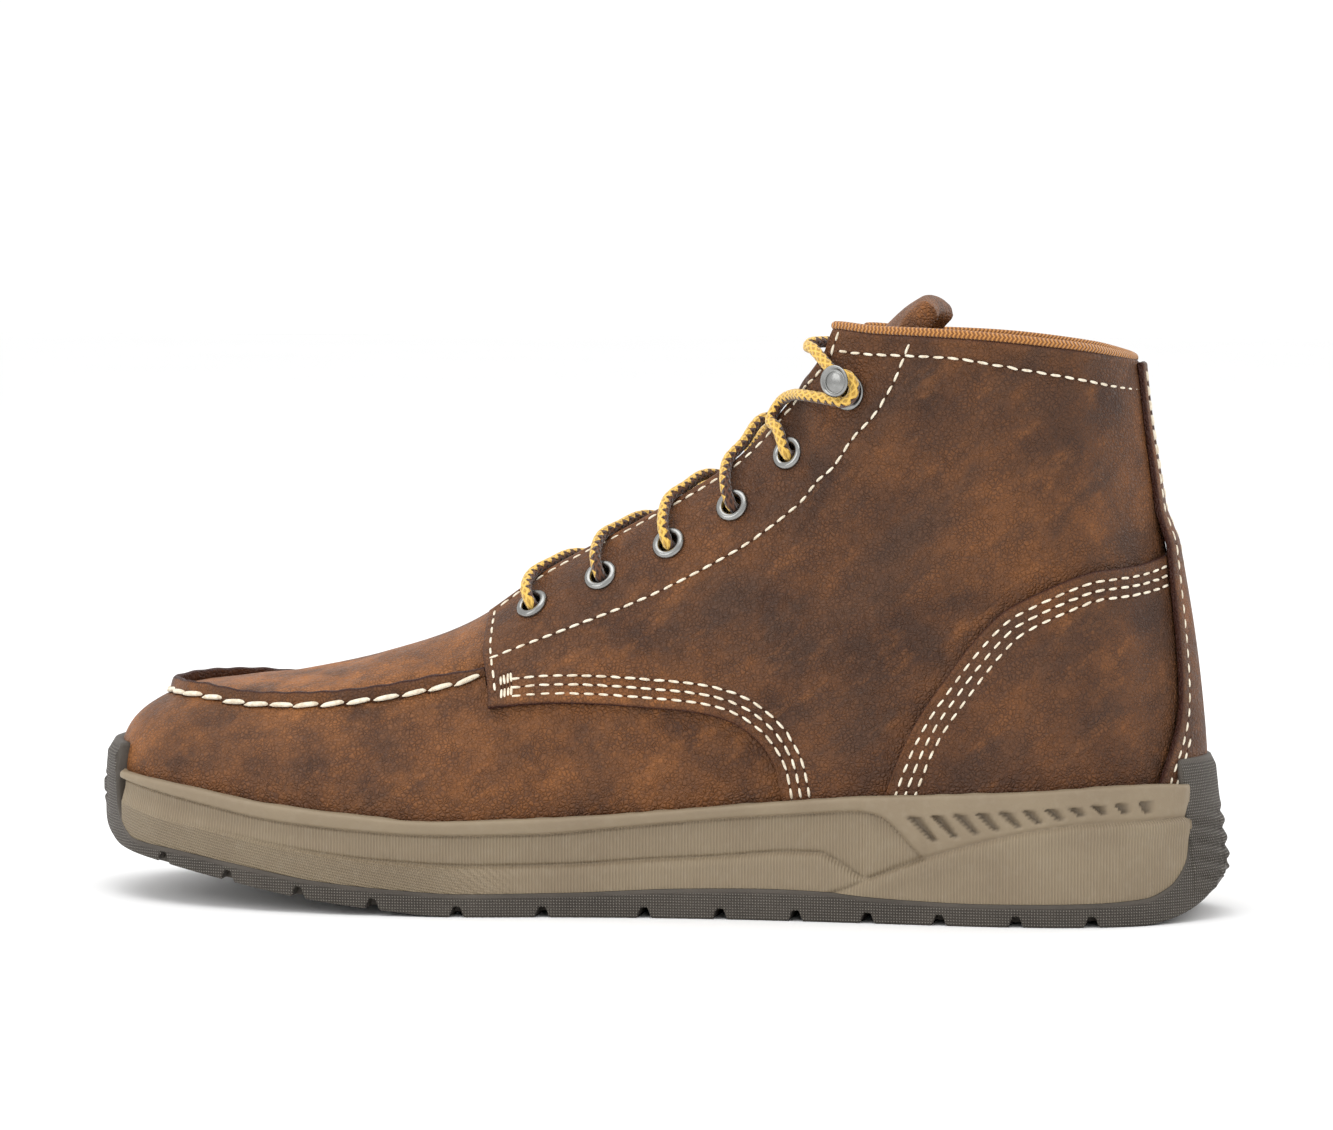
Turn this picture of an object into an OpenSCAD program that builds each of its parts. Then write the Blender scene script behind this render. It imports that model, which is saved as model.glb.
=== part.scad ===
// Steel toe work boot for a right foot: moccasin toe, ankle height, wedge-style sole.
// Frame: toe at -X, heel at +X, medial (inner) side at -Y, lateral side at +Y,
// outsole resting on Z = 0, origin under the middle of the boot's length.

/* [Boot] */
// Overall length of the outsole
boot_length = 309.5; // [290:0.5:330]
// Overall width of the sole at the ball
ball_width = 111; // [104:0.5:118]
// Height of the collar at the front
collar_height = 155; // [145:1:165]

/* [Leather and lining] */
// Thickness of the upper leather
leather = 1.7; // [1.4:0.05:1.7]
// Thickness of the lining cloth
lining = 1.2; // [0.8:0.1:1.2]
// Wall thickness of the steel toe cap
cap_wall = 1.5; // [1.2:0.1:1.5]
// Thickness of the padding round the ankle
padding = 2.2; // [1.5:0.1:2.2]
// Diameter of the knitted piping on the collar
piping_d = 2.4; // [1.6:0.1:2.6]

/* [Sole] */
// Depth of the grooves across the tread
tread_depth = 2.5; // [1:0.1:3]
// Width of the grooves across the tread
tread_groove = 3.5; // [2:0.1:5]
// Thickness of the insole board
board = 2; // [1.5:0.1:2]
// Thickness of the removable footbed's foam
footbed = 4; // [3:0.1:5]
// Width of the shank under the arch
shank_w = 16; // [12:0.5:20]

/* [Lacing] */
// Diameter of the lace
lace_d = 3.5; // [3:0.1:3.6]
// Outer diameter of the eyelets
eyelet_d = 9; // [8:0.1:10]
// Diameter of the hole through the eyelets
eyelet_hole = 5.2; // [4.8:0.1:5.4]
// Diameter of the lace hooks' heads
hook_d = 8.4; // [7:0.1:9]

/* [Hidden] */

size_k = [boot_length / 309.5, ball_width / 111, collar_height / 155];
function sized(p) = [p[0] * size_k[0], p[1] * size_k[1], p[2] * size_k[2]];

gap = 0.3;                      // clearance between neighbouring layers
ply = leather + gap;            // one leather layer with its clearance
quarter_d = gap;                // inner faces, measured outwards from the vamp's outer face
heel_panel_d = quarter_d + ply;
backstay_d = heel_panel_d + ply;
padding_d = -padding;           // outer face of the padding is at 0
lining_d = padding_d - gap - lining;
cap_d = -leather - gap - cap_wall;
toe_lining_d = cap_d - gap - lining;
facing = 2.4;                   // thickness of the eyestay facing
cover = 0.9;                    // thickness of the footbed's cover

leather_brown = [0.37, 0.22, 0.13];
edge_brown = [0.28, 0.14, 0.09];
sole_taupe = [0.52, 0.46, 0.37];
rubber_brown = [0.27, 0.24, 0.21];
lining_tan = [0.72, 0.42, 0.2];
thread_cream = [0.9, 0.86, 0.74];
steel_grey = [0.62, 0.62, 0.62];
foam_grey = [0.5, 0.5, 0.48];

// ---- The shape of the upper ----
// Ribs of the upper from the toe (0) round to the heel (15). Each rib is a cubic curve from
// the sole up: base, two handles, top edge, each as x, half width, z. The last two values are
// how much wider the lateral side is, and how far medial_ws of the medial rib it stands.
RIBS = [
    [[-149, 0, 26], [-152.5, 0, 44], [-147, 0, 56], [-112, 0, 58.5], 1, 0],
    [[-144.5, 19, 26], [-148, 21, 44], [-142, 17, 56], [-111, 0, 58.7], 0.98, 3],
    [[-131, 34, 25], [-134, 38, 44], [-130, 28, 56.5], [-109, 0, 59], 1, 7],
    [[-107, 43, 23], [-108, 48, 42], [-106, 31, 58.5], [-98, 0, 60.5], 1.06, 8],
    [[-78, 47, 20], [-78, 52, 42], [-77, 33, 65], [-76, 0, 65.5], 1.13, 6],
    [[-48, 46, 18.5], [-48, 51.5, 46], [-50, 27, 74.5], [-52, 0, 74], 1.18, 4],
    [[-20, 40.5, 19], [-20, 45, 52], [-23, 27, 93], [-27, 0, 90], 1.22, 0],
    [[5, 36.5, 20.5], [5, 40.5, 58], [0, 27, 106], [-1, 0, 104.5], 1.22, 0],
    [[30, 34, 23], [31, 37, 65], [26, 27, 121.5], [22, 0, 121], 1.17, 0],
    [[50, 33, 24.5], [52, 35.5, 70], [40, 27, 131], [38, 0, 141], 1.1, 0],
    [[62, 32.5, 25], [66, 34.5, 75], [46, 28, 130], [49, 20, 153.5], 1.07, 0],
    [[78, 32, 25.5], [80, 33, 75], [62, 32, 122], [66, 30.5, 153.5], 1.04, 0],
    [[97, 31, 26], [97, 32, 70], [91, 32, 118], [90, 34, 152.5], 1.02, 0],
    [[117, 27.5, 26], [118, 28.5, 65], [112, 24, 112], [113, 27, 150], 1.02, 0],
    [[133, 18, 26.5], [135, 18.5, 60], [124.5, 12.5, 110], [123.5, 14.5, 147.8], 1.02, 0],
    [[142.5, 0, 27], [145, 0, 60], [130.5, 0, 112], [127.5, 0, 146.5], 1, 0],
];
HEEL = len(RIBS) - 1;
AROUND = 2 * HEEL;              // ribs in the full loop: toe, medial, heel, lateral

function medial_rib(r) = [for (j = [0:3]) sized([r[j][0], -r[j][1], r[j][2]])];
function lateral_rib(r) = let (
        wide = [r[4], r[4], 1 + (r[4] - 1) / 2, 1 + (r[4] - 1) / 5],
        shift = [r[5], r[5], r[5] / 2, 0])
    [for (j = [0:3]) sized([r[j][0] + shift[j], r[j][1] * wide[j], r[j][2]])];
LOOP = concat([for (r = RIBS) medial_rib(r)], [for (k = [HEEL - 1:-1:1]) lateral_rib(RIBS[k])]);

function wrapped(i, n) = ((i % n) + n) % n;
function spline(a, b, c, d, f) =
    (2 * b + (c - a) * f + (2 * a - 5 * b + 4 * c - d) * f * f
    + (3 * b - a - 3 * c + d) * f * f * f) / 2;
function cubic(c, t) = let (s = 1 - t)
    c[0] * s * s * s + c[1] * 3 * t * s * s + c[2] * 3 * t * t * s + c[3] * t * t * t;
// Point on the upper: w runs round the loop (medial 0 to 15, lateral 0 to -15), t runs up.
function surface_point(w, t) = let (
        k = floor(w), f = w - k,
        r = [for (i = [-1:2]) LOOP[wrapped(k + i, AROUND)]])
    cubic([for (j = [0:3]) spline(r[0][j], r[1][j], r[2][j], r[3][j], f)], t);
function outward(w, t) = let (
        e = 0.02, s = min(max(t, e), 0.94),
        n = cross(surface_point(w + e, s) - surface_point(w - e, s),
            surface_point(w, s + e) - surface_point(w, s - e)))
    n / norm(n);
function upper(w, t, d) = surface_point(w, t) + d * outward(w, t);
function on_layer(p, d) = upper(p[0], p[1], d + (len(p) > 2 ? p[2] : 0));

// ---- Edges of the panels, as height t against the rib number ----
SEAM = [[0, 0.68], [1, 0.7], [2, 0.69], [3, 0.615], [4, 0.565], [5, 0.54], [6, 0.5]];
THROAT = [[5.3, 0.83], [6, 0.86], [7, 0.86], [8, 0.85], [9, 0.86], [9.8, 0.875], [10.2, 0.93],
    [10.4, 1]];
WING = [[5.3, 0.405], [6, 0.36], [7, 0.295], [7.7, 0.24], [8.1, 0.19], [8.4, 0.12], [8.56, 0]];
HEEL_EDGE = [[10.3, 0], [10.4, 0.06], [11.4, 0.27], [12.3, 0.44], [13.4, 0.54], [15, 0.575]];
FACING_EDGE = [[5.4, 0.6], [8.9, 0.63], [10.2, 0.7], [11.1, 0.78]];
BACKSTAY_EDGE = [[0, 13.9], [0.1, 14.1], [0.27, 14.48], [0.5, 14.6], [0.8, 14.75], [1, 14.78]];
SOLE_LEDGE = [[0, 1.5 * gap], [8.25, 1.5 * gap], [8.5, quarter_d + ply], [10, quarter_d + ply],
    [10.25, heel_panel_d + ply], [13.5, heel_panel_d + ply], [13.75, backstay_d + ply],
    [15, backstay_d + ply]];
SOLE_MARGIN = [[0, 5.75], [2, 5], [4, 5], [7, 4.5], [10, 6], [13, 8], [14, 9.5], [15, 12.3]];
function rib_number(w) = let (k = wrapped(w + HEEL, AROUND) - HEEL) abs(k);
function edge(table, w) = lookup(rib_number(w), table);

// Rib numbers from a to b, at every step and at both ends.
function span(a, b, step = 0.25) = concat([a],
    [for (k = [ceil(a / step + 0.2):floor(b / step - 0.2)]) k * step], [b]);

// ---- Solids made from points on the upper ----
function quad(a, b, c, d) = [[a, b, c], [a, c, d]];
// Faces of a layer: points run i outer (columns), j inner (rows), outer skin then inner skin.
function layer_faces(n, m) = let (q = n * m)
    concat(
        [for (i = [0:n - 2], j = [0:m - 2])
            each quad(i * m + j, i * m + j + 1, (i + 1) * m + j + 1, (i + 1) * m + j)],
        [for (i = [0:n - 2], j = [0:m - 2])
            each quad(q + i * m + j, q + (i + 1) * m + j, q + (i + 1) * m + j + 1, q + i * m + j + 1)],
        [for (i = [0:n - 2]) each quad(i * m, (i + 1) * m, q + (i + 1) * m, q + i * m)],
        [for (j = [0:m - 2]) each concat(
            quad(j, q + j, q + j + 1, j + 1),
            quad((n - 1) * m + j, (n - 1) * m + j + 1, q + (n - 1) * m + j + 1, q + (n - 1) * m + j))]);
function rim_faces(n, m) = let (q = n * m)
    [for (i = [0:n - 2])
        each quad(i * m + m - 1, q + i * m + m - 1, q + (i + 1) * m + m - 1, (i + 1) * m + m - 1)];
// Faces that close the top of a layer across the toe, joining column i to its mirror.
function bridge(a, b, c, d, flip) = let (f = b == c ? [[a, b, d]] : quad(a, b, c, d))
    flip ? [for (t = f) [t[2], t[1], t[0]]] : f;
function crown_faces(n, m) = let (q = n * m, top = m - 1, h = (n - 1) / 2)
    concat(
        [for (i = [0:h - 1], s = [0, 1]) each bridge(
            s * q + i * m + top, s * q + (n - 1 - i) * m + top,
            s * q + (n - 2 - i) * m + top, s * q + (i + 1) * m + top, s == 1)],
        quad(top, q + top, q + (n - 1) * m + top, (n - 1) * m + top));

// A layer through a grid of [w, t] places, from inner_d to outer_d. A place may carry a third
// value, which lifts the layer there.
module layer(grid, inner_d, outer_d, crown = false) {
    n = len(grid);
    m = len(grid[0]);
    inner_list = is_list(inner_d) ? inner_d : [for (c = grid) inner_d];
    outer_list = is_list(outer_d) ? outer_d : [for (c = grid) outer_d];
    polyhedron(
        concat(
            [for (i = [0:n - 1], p = grid[i]) on_layer(p, outer_list[i])],
            [for (i = [0:n - 1], p = grid[i]) on_layer(p, inner_list[i])]),
        concat(layer_faces(n, m), crown ? crown_faces(n, m) : rim_faces(n, m)));
}
// Columns at the rib numbers ws, each from height lo to height hi in so many rows.
function columns(ws, lo, hi, rows) = [for (i = [0:len(ws) - 1])
    [for (j = [0:rows]) [ws[i], lo[i] + (hi[i] - lo[i]) * j / rows]]];
function along(ws, table, shift = 0) = [for (w = ws) edge(table, w) + shift];
function same(ws, t) = [for (w = ws) t];
function at_most(a, b) = [for (i = [0:len(a) - 1]) min(a[i], b[i])];
// The same rib numbers on the lateral side.
function lateral(ws) = [for (k = [len(ws) - 1:-1:0]) -ws[k]];

// A closed plate over the whole foot, between two rings of points.
function plate_faces(n) = let (h = n / 2)
    concat(
        [for (i = [0:n - 1]) each quad(i, n + i, n + (i + 1) % n, (i + 1) % n)],
        [for (i = [0:h - 1], s = [0, 1]) each plate_bridge(i, n, s)]);
function plate_bridge(i, n, s) = let (
        a = i, b = i + 1, c = (n - i - 1) % n, d = (n - i) % n, o = s * n,
        f = a == d ? [[a, b, c]] : b == c ? [[a, b, d]] : quad(a, b, c, d))
    [for (t = f) s == 1 ? [t[0] + o, t[2] + o, t[1] + o] : t];
module plate(low, high) {
    polyhedron(concat(low, high), plate_faces(len(low)));
}

function sideways(w) = let (
        e = 0.02, d = surface_point(w + e, 0) - surface_point(w - e, 0), l = norm([d[0], d[1]]))
    [d[1] / l, -d[0] / l, 0];
// Ring at the foot of the upper, moved outwards and up.
function foot_ring(out, up) = [for (k = [0:AROUND * 2 - 1]) let (w = k / 2)
    surface_point(w, 0) + sideways(w) * out + [0, 0, up]];

// ---- Tubes swept along a route ----
function unit(v) = v / norm(v);
function heading(p, i) = unit(p[min(i + 1, len(p) - 1)] - p[max(i - 1, 0)]);
// Directions square to the route at each of its points, carried along without twisting.
function cross_directions(p) = [for (
        i = 0, a = unit(cross(heading(p, 0), [0.1, 0.2, 1]));
        i < len(p);
        i = i + 1, a = i < len(p) ? unit(a - heading(p, i) * (a * heading(p, i))) : a) a];
module tube(route, r, sides = 8) {
    n = len(route);
    across = cross_directions(route);
    points = [for (i = [0:n - 1], k = [0:sides - 1]) let (b = cross(heading(route, i), across[i]))
        route[i] + r * (across[i] * cos(360 * k / sides) + b * sin(360 * k / sides))];
    polyhedron(points, concat(
        [for (i = [0:n - 2], k = [0:sides - 1]) let (l = (k + 1) % sides)
            each quad(i * sides + k, (i + 1) * sides + k, (i + 1) * sides + l, i * sides + l)],
        [[for (k = [0:sides - 1]) k]],
        [[for (k = [sides - 1:-1:0]) (n - 1) * sides + k]]));
}

// Moves a child so that its Z axis stands out of the upper at w, t, with Z = 0 at height d.
module on_upper(w, t, d = 0) {
    n = outward(w, t);
    translate(upper(w, t, d)) rotate([0, acos(n[2]), atan2(n[1], n[0])]) children();
}

// ---- Sole ----
MIDSOLE_TOP = [[-145.5, 34.6], [-121, 32.3], [-97, 28.9], [-73.5, 26.7], [-52, 25.2], [-32.5, 25.7],
    [-3, 27.3], [23.5, 29.7], [46.5, 31.9], [62, 33.2], [72, 33.7], [100, 35], [137.5, 36.9],
    [146.5, 36.1]];
PARTING = [[-146.3, 34], [-145.4, 25], [-141, 18.3], [-137.3, 16.5], [-123.5, 14.9], [-105, 12.2],
    [-81.5, 8.6], [-59, 6.8], [-43, 6], [-15.5, 6.4], [15, 7.8], [37.5, 8.2], [51, 7.9],
    [69, 6.5], [93.5, 5.8], [121.5, 6.1], [135.5, 7], [141.5, 9.7], [146, 17], [147.4, 24],
    [147.7, 34]];
TREAD = [[154.8, 13], [152, 4.5], [147, 1.2], [141, 0], [-44, 0], [-66, 1.7], [-87, 4.2],
    [-107, 7.2], [-128, 9.8], [-143, 11.2], [-149, 13.2], [-152, 16.5], [-154.4, 22]];
TOE_BUMPER = [[-154.75, 29], [-153.8, 38], [-151, 41.3], [-146.3, 41.3]];
HEEL_CUP = [[147.7, 42.4], [149.6, 42.4], [151, 39.6], [151.8, 32.4], [153, 24.5]];
GROOVES = [-127, -107, -86.5, -66, -43.5, -21.5, 5, 25, 45, 64, 83, 103, 122.5];
TREAD_RISE = [[-143, 11.2], [-128, 9.8], [-107, 7.2], [-87, 4.2], [-66, 1.7], [-44, 0], [141, 0]];
far = 200;                      // reaches past the boot in any direction

function profile(points) = [for (p = points) [p[0] * size_k[0], p[1] * size_k[2]]];
module side_view() {
    rotate([90, 0, 0]) linear_extrude(far, center = true) children();
}
// The sole seen from above, as wide as its margin round the foot of the upper.
module sole_outline(inset = 0) {
    ring = [for (k = [0:AROUND * 3 - 1]) let (w = k / 3)
        surface_point(w, 0) + sideways(w) * (edge(SOLE_MARGIN, w) - inset)];
    linear_extrude(far) polygon([for (p = ring) [p[0], p[1]]]);
}
// The room that the upper takes in the sole, with its layers' thicknesses.
module foot_room() {
    rows = [0, 0.13, 0.26, 0.4];
    ws = [for (k = [0:AROUND * 4 - 1]) k / 4];
    n = len(ws);
    rings = [for (t = rows) [for (w = ws) upper(w, t, edge(SOLE_LEDGE, w))]];
    points = [for (r = rings, p = r) p];
    last_row = (len(rows) - 1) * n;
    polyhedron(points, concat(
        [for (j = [0:len(rows) - 2], i = [0:n - 1]) let (l = (i + 1) % n)
            each quad(j * n + i, (j + 1) * n + i, (j + 1) * n + l, j * n + l)],
        [for (i = [0:n / 2 - 1]) each plate_bridge(i, n, 0)],
        [for (i = [0:n / 2 - 1], f = plate_bridge(i, n, 0))
            [f[0] + last_row, f[2] + last_row, f[1] + last_row]]));
}

module outsole() color(rubber_brown) difference() {
    intersection() {
        sole_outline();
        side_view() difference() {
            polygon(profile(concat(PARTING, HEEL_CUP, TREAD, TOE_BUMPER)));
            for (x = GROOVES)
                translate([x * size_k[0], lookup(x, TREAD_RISE) * size_k[2]])
                    square([tread_groove, 2 * tread_depth], center = true);
        }
    }
    foot_room();
}

// The shank's underside along the arch, as x and z.
SHANK_LINE = [[-42, 16.4], [-20, 16.6], [5, 18], [30, 20.4], [50, 21.8], [70, 22.6]];
shank_t = 1.4;                  // thickness of the shank
// The shank, or the recess for it if spare is its clearance on every side.
module shank_shape(spare) {
    low = [for (p = SHANK_LINE) [p[0], p[1] - spare]];
    high = [for (k = [len(SHANK_LINE) - 1:-1:0]) SHANK_LINE[k] + [0, shank_t + spare]];
    rotate([90, 0, 0]) linear_extrude(shank_w + 2 * spare, center = true)
        polygon(profile(concat([low[0] - [spare, 0]], low, [low[5] + [spare, 0]],
            [high[0] + [spare, 0]], high, [high[5] - [spare, 0]])));
}

module midsole() color(sole_taupe) difference() {
    intersection() {
        sole_outline(0.4);
        side_view() polygon(profile(concat(
            [for (k = [len(PARTING) - 1:-1:0]) PARTING[k] + [0, gap / 2]], MIDSOLE_TOP)));
    }
    foot_room();
    shank_shape(gap / 2);
}

module shank() color(steel_grey) shank_shape(0);

board_inset = 6.2;
footbed_inset = 7;
module insole_board() color([0.55, 0.45, 0.33])
    plate(foot_ring(-board_inset, gap), foot_ring(-board_inset, gap + board));
module footbed_foam() color(foam_grey)
    plate(foot_ring(-footbed_inset, 2 * gap + board),
        foot_ring(-footbed_inset, 2 * gap + board + footbed));
module footbed_cover() color([0.25, 0.22, 0.2])
    plate(foot_ring(-footbed_inset, 3 * gap + board + footbed),
        foot_ring(-footbed_inset, 3 * gap + board + footbed + cover));

// ---- Stiffeners inside the upper ----
crown_t = 0.93;                 // height where the two sides are bridged over the toe
module steel_toe_cap() color(steel_grey) {
    ws = span(-3.25, 3.25);
    layer(columns(ws, same(ws, 0.05), same(ws, crown_t), 7), cap_d, cap_d + cap_wall, true);
}
module toe_cap_edge_strip() color(foam_grey) {
    grid = [for (w = [3.7, 3.5, 3.3]) concat(
        [for (j = [0:7]) [-w, 0.05 + (crown_t - 0.05) * j / 7]],
        [for (j = [7:-1:0]) [w, 0.05 + (crown_t - 0.05) * j / 7]])];
    layer(grid, cap_d, cap_d + cap_wall);
}
module heel_counter() color([0.7, 0.68, 0.6]) {
    ws = span(11, AROUND - 11);
    layer(columns(ws, same(ws, 0.02), same(ws, 0.43), 5), padding_d, 0);
}
module ankle_padding() color(foam_grey) {
    ws = span(9.1, AROUND - 9.1);
    low = [for (w = ws) rib_number(w) < 10.95 ? 0.05 : 0.45];
    high = [for (w = ws) rib_number(w) < 11.4 ? edge(FACING_EDGE, w) - 0.03 : 0.96];
    layer(columns(ws, low, high, 8), padding_d, 0);
}

// ---- Leather panels ----
lap = 0.09;                     // how far one panel runs on under the next, as height t
module vamp() color(leather_brown) {
    ws = concat(span(-8.8, -5.3), span(-5.25, 5.25), span(5.3, 8.8));
    high = [for (w = ws) rib_number(w) < 5.3 ? edge(SEAM, w)
        : max(edge(WING, w), lookup(rib_number(w), [[8, 0.2], [8.8, 0.02]])) + lap];
    layer(columns(ws, same(ws, 0), high, 7), -leather, 0);
}
plug_back = 5.5;                // rib number of the plug's rear edge
module toe_plug() color(leather_brown) {
    ws = span(-plug_back, plug_back);
    layer(columns(ws, along(ws, SEAM, 0.012), same(ws, crown_t), 4), -leather, 0, true);
}
module moc_seam_thread() color(thread_cream) {
    route = [for (k = [-31:31]) let (w = k / 6) upper(w, edge(SEAM, w) + 0.006, 0.95)];
    tube(route, 0.8, 6);
}

EYELETS = [[5.81, 0.7], [6.55, 0.682], [7.29, 0.68], [7.98, 0.69], [8.9, 0.718]];
HOOK = [10.6, 0.835];
barrel_r = eyelet_hole / 2 + 0.3;
rivet_r = 1.5;
module lacing_hole(w, t, r) {
    on_upper(w, t, -facing - 1) cylinder(h = facing + leather + 3, r = r, $fn = 24);
}
module lacing_holes(side) {
    for (e = EYELETS) lacing_hole(side * e[0], e[1], barrel_r + 0.1);
    lacing_hole(side * HOOK[0], HOOK[1], rivet_r + 0.1);
}

quarter_front = 5.32;
quarter_back = 14.9;
function quarter_low(ws) = [for (w = ws) rib_number(w) < 9 ? edge(WING, w)
    : max(0, edge(HEEL_EDGE, w) - lap)];
function quarter_high(ws) = at_most(along(ws, THROAT), same(ws, 0.99));
module quarter(side) {
    near_wing_end = [8.1, 8.2, 8.3, 8.4, 8.5, 8.6];
    near_throat_top = [10.2, 10.4];
    medial_ws = concat(span(quarter_front, 8), near_wing_end, span(8.75, 10), near_throat_top,
        span(10.5, quarter_back));
    ws = side < 0 ? medial_ws : lateral(medial_ws);
    difference() {
        layer(columns(ws, quarter_low(ws), quarter_high(ws), 10), quarter_d, quarter_d + leather);
        lacing_holes(-side);
    }
}
module quarter_medial() color(leather_brown) quarter(-1);
module quarter_lateral() color(leather_brown) quarter(1);

module heel_panel(side) {
    medial_ws = concat([10.32], span(10.4, quarter_back));
    ws = side < 0 ? medial_ws : lateral(medial_ws);
    layer(columns(ws, same(ws, 0), along(ws, HEEL_EDGE), 6), heel_panel_d, heel_panel_d + leather);
}
module heel_panel_medial() color(leather_brown) heel_panel(-1);
module heel_panel_lateral() color(leather_brown) heel_panel(1);

module backstay() color(leather_brown) {
    rows = [for (j = [0:14]) 0.97 * j / 14];
    // Above the heel panels the backstay lies straight on the quarters.
    grid = [for (i = [0:8]) [for (t = rows) let (a = lookup(t, BACKSTAY_EDGE))
        [a + (AROUND - 2 * a) * i / 8, t, lookup(t, [[0.59, 0], [0.66, -ply]])]]];
    layer(grid, backstay_d, backstay_d + leather);
}

module collar_piping() color(lining_tan) {
    r = piping_d / 2;
    route = [for (w = span(10.45, AROUND - 10.45)) upper(w, 1, -0.4) + [0, 0, r + gap / 2]];
    tube(route, r);
}

// ---- Linings ----
module vamp_lining() color(lining_tan) {
    ws = span(-5.25, 5.25);
    inner = [for (w = ws) lookup(rib_number(w), [[3.8, toe_lining_d], [4.2, lining_d]])];
    outer = [for (d = inner) d + lining];
    layer(columns(ws, same(ws, 0.03), same(ws, crown_t), 7), inner, outer, true);
}
module ankle_lining() color(lining_tan) {
    ws = span(5.3, AROUND - 5.3);
    high = [for (w = ws) rib_number(w) < 11.2 ? edge(FACING_EDGE, w) - 0.02 : 0.985];
    layer(columns(ws, same(ws, 0.03), high, 7), lining_d, lining_d + lining);
}
module eyestay_facing(side) {
    medial_ws = concat(span(plug_back + 0.06, 10), [10.2], span(10.3, 11.1));
    ws = side < 0 ? medial_ws : lateral(medial_ws);
    high = at_most(along(ws, THROAT, -0.012), same(ws, 0.96));
    difference() {
        layer(columns(ws, along(ws, FACING_EDGE), high, 4), -facing, 0);
        lacing_holes(-side);
    }
}
module eyestay_facing_medial() color(edge_brown) eyestay_facing(-1);
module eyestay_facing_lateral() color(edge_brown) eyestay_facing(1);

// ---- Eyelets and hooks ----
module eyelet() {
    face = quarter_d + leather;
    flange_r = eyelet_d / 2;
    hole_r = eyelet_hole / 2;
    rotate_extrude($fn = 40) polygon([
        [hole_r, -facing - 0.7], [barrel_r + 0.9, -facing - 0.7], [barrel_r + 1.1, -facing - 0.35],
        [barrel_r + 0.9, -facing - 0.05], [barrel_r, -facing - 0.05], [barrel_r, face + 0.05],
        [flange_r, face + 0.05], [flange_r - 0.2, face + 0.5], [flange_r - 0.9, face + 0.9],
        [hole_r + 0.6, face + 0.75], [hole_r, face + 0.2]]);
}
module eyelet_row(side) {
    for (e = EYELETS) on_upper(side * e[0], e[1]) eyelet();
}
module eyelets_medial() color(steel_grey) eyelet_row(1);
module eyelets_lateral() color(steel_grey) eyelet_row(-1);

hook_rise = 6.2;                // from the leather to the underside of the hook's head
module lace_hook(side) {
    face = quarter_d + leather + 0.05;
    head_r = hook_d / 2;
    on_upper(side * HOOK[0], HOOK[1]) rotate_extrude($fn = 40) polygon([
        [0, -facing - 0.8], [4, -facing - 0.8], [4, -facing - 0.1], [rivet_r, -facing - 0.1],
        [rivet_r, face], [4.8, face], [4.8, face + 0.5], [4.2, face + 0.9], [2.4, face + 1.1],
        [1.9, face + 2], [1.9, face + hook_rise - 0.8], [2.6, face + hook_rise - 0.2],
        [head_r, face + hook_rise], [head_r, face + hook_rise + 0.8],
        [head_r - 0.6, face + hook_rise + 1.5], [head_r / 2, face + hook_rise + 1.9],
        [0, face + hook_rise + 2]]);
}
module lace_hook_medial() color(steel_grey) lace_hook(1);
module lace_hook_lateral() color(steel_grey) lace_hook(-1);

// ---- Tongue ----
// Sections from the root to the tip: x and z of the front face's middle, half width,
// and how far the side edges curve back.
TONGUE = [[-36, 73, 13, 3], [-22, 82, 15, 7], [0, 94.5, 16, 10], [21, 109, 17, 15],
    [34.5, 120.5, 18, 19], [47, 135, 20, 17], [57, 149, 24, 12], [65, 159, 23, 8], [71, 163.2, 18, 4]];
tongue_leather_t = 1.5;
tongue_foam_t = 4.3;
tongue_lining_t = 1.2;
function tongue_slope(i) = let (
        a = TONGUE[max(i - 1, 0)], b = TONGUE[min(i + 1, len(TONGUE) - 1)])
    unit([b[0] - a[0], 0, b[1] - a[1]]);
// Point on the tongue: section i, p across from -1 to 1, depth behind the front face.
function tongue_point(i, p, depth) = let (
        s = TONGUE[i], along_it = tongue_slope(i), back = [along_it[2], 0, -along_it[0]],
        lean = unit(back + [0, -2 * s[3] * p / s[2], 0]))
    sized([s[0], p * s[2], s[1]] + back * s[3] * p * p + lean * depth);
module tongue_layer(front, back, trim) {
    n = len(TONGUE);
    across = 10;
    m = across + 1;
    polyhedron(
        [for (depth = [front, back], i = [0:n - 1], k = [0:across])
            tongue_point(i, (2 * k / across - 1) * (1 - trim), depth)],
        concat(layer_faces(n, m), rim_faces(n, m)));
}
module tongue_leather() color(leather_brown) tongue_layer(0, tongue_leather_t, 0);
module tongue_foam() color(foam_grey)
    tongue_layer(tongue_leather_t + gap, tongue_leather_t + gap + tongue_foam_t, 0.06);
module tongue_lining() color(lining_tan)
    tongue_layer(tongue_leather_t + tongue_foam_t + 2 * gap,
        tongue_leather_t + tongue_foam_t + 2 * gap + tongue_lining_t, 0);

// ---- Lace ----
under_d = -facing - 0.8 - lace_d / 2;   // middle of the lace behind the eyestay
over_d = quarter_d + leather + lace_d / 2 + gap;
edge_t = 0.83;
cross_d = lace_d / 2 + gap / 2;
function between(a, b, f) = a + (b - a) * f;
function mid_throat(u, d) = let (p = upper(u, 1, 0), q = outward(u, 1))
    [p[0], 0, p[2]] + unit([q[0], 0, q[2]]) * d;
// Up through one eyelet, from behind the eyestay to in front of it.
function up_eyelet(s, k) = let (w = s * EYELETS[k][0], t = EYELETS[k][1])
    [upper(w, t + 0.02, under_d + 0.2), upper(w, t, -facing - 1), upper(w, t, 0),
        upper(w, t, quarter_d + leather + 1)];
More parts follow.
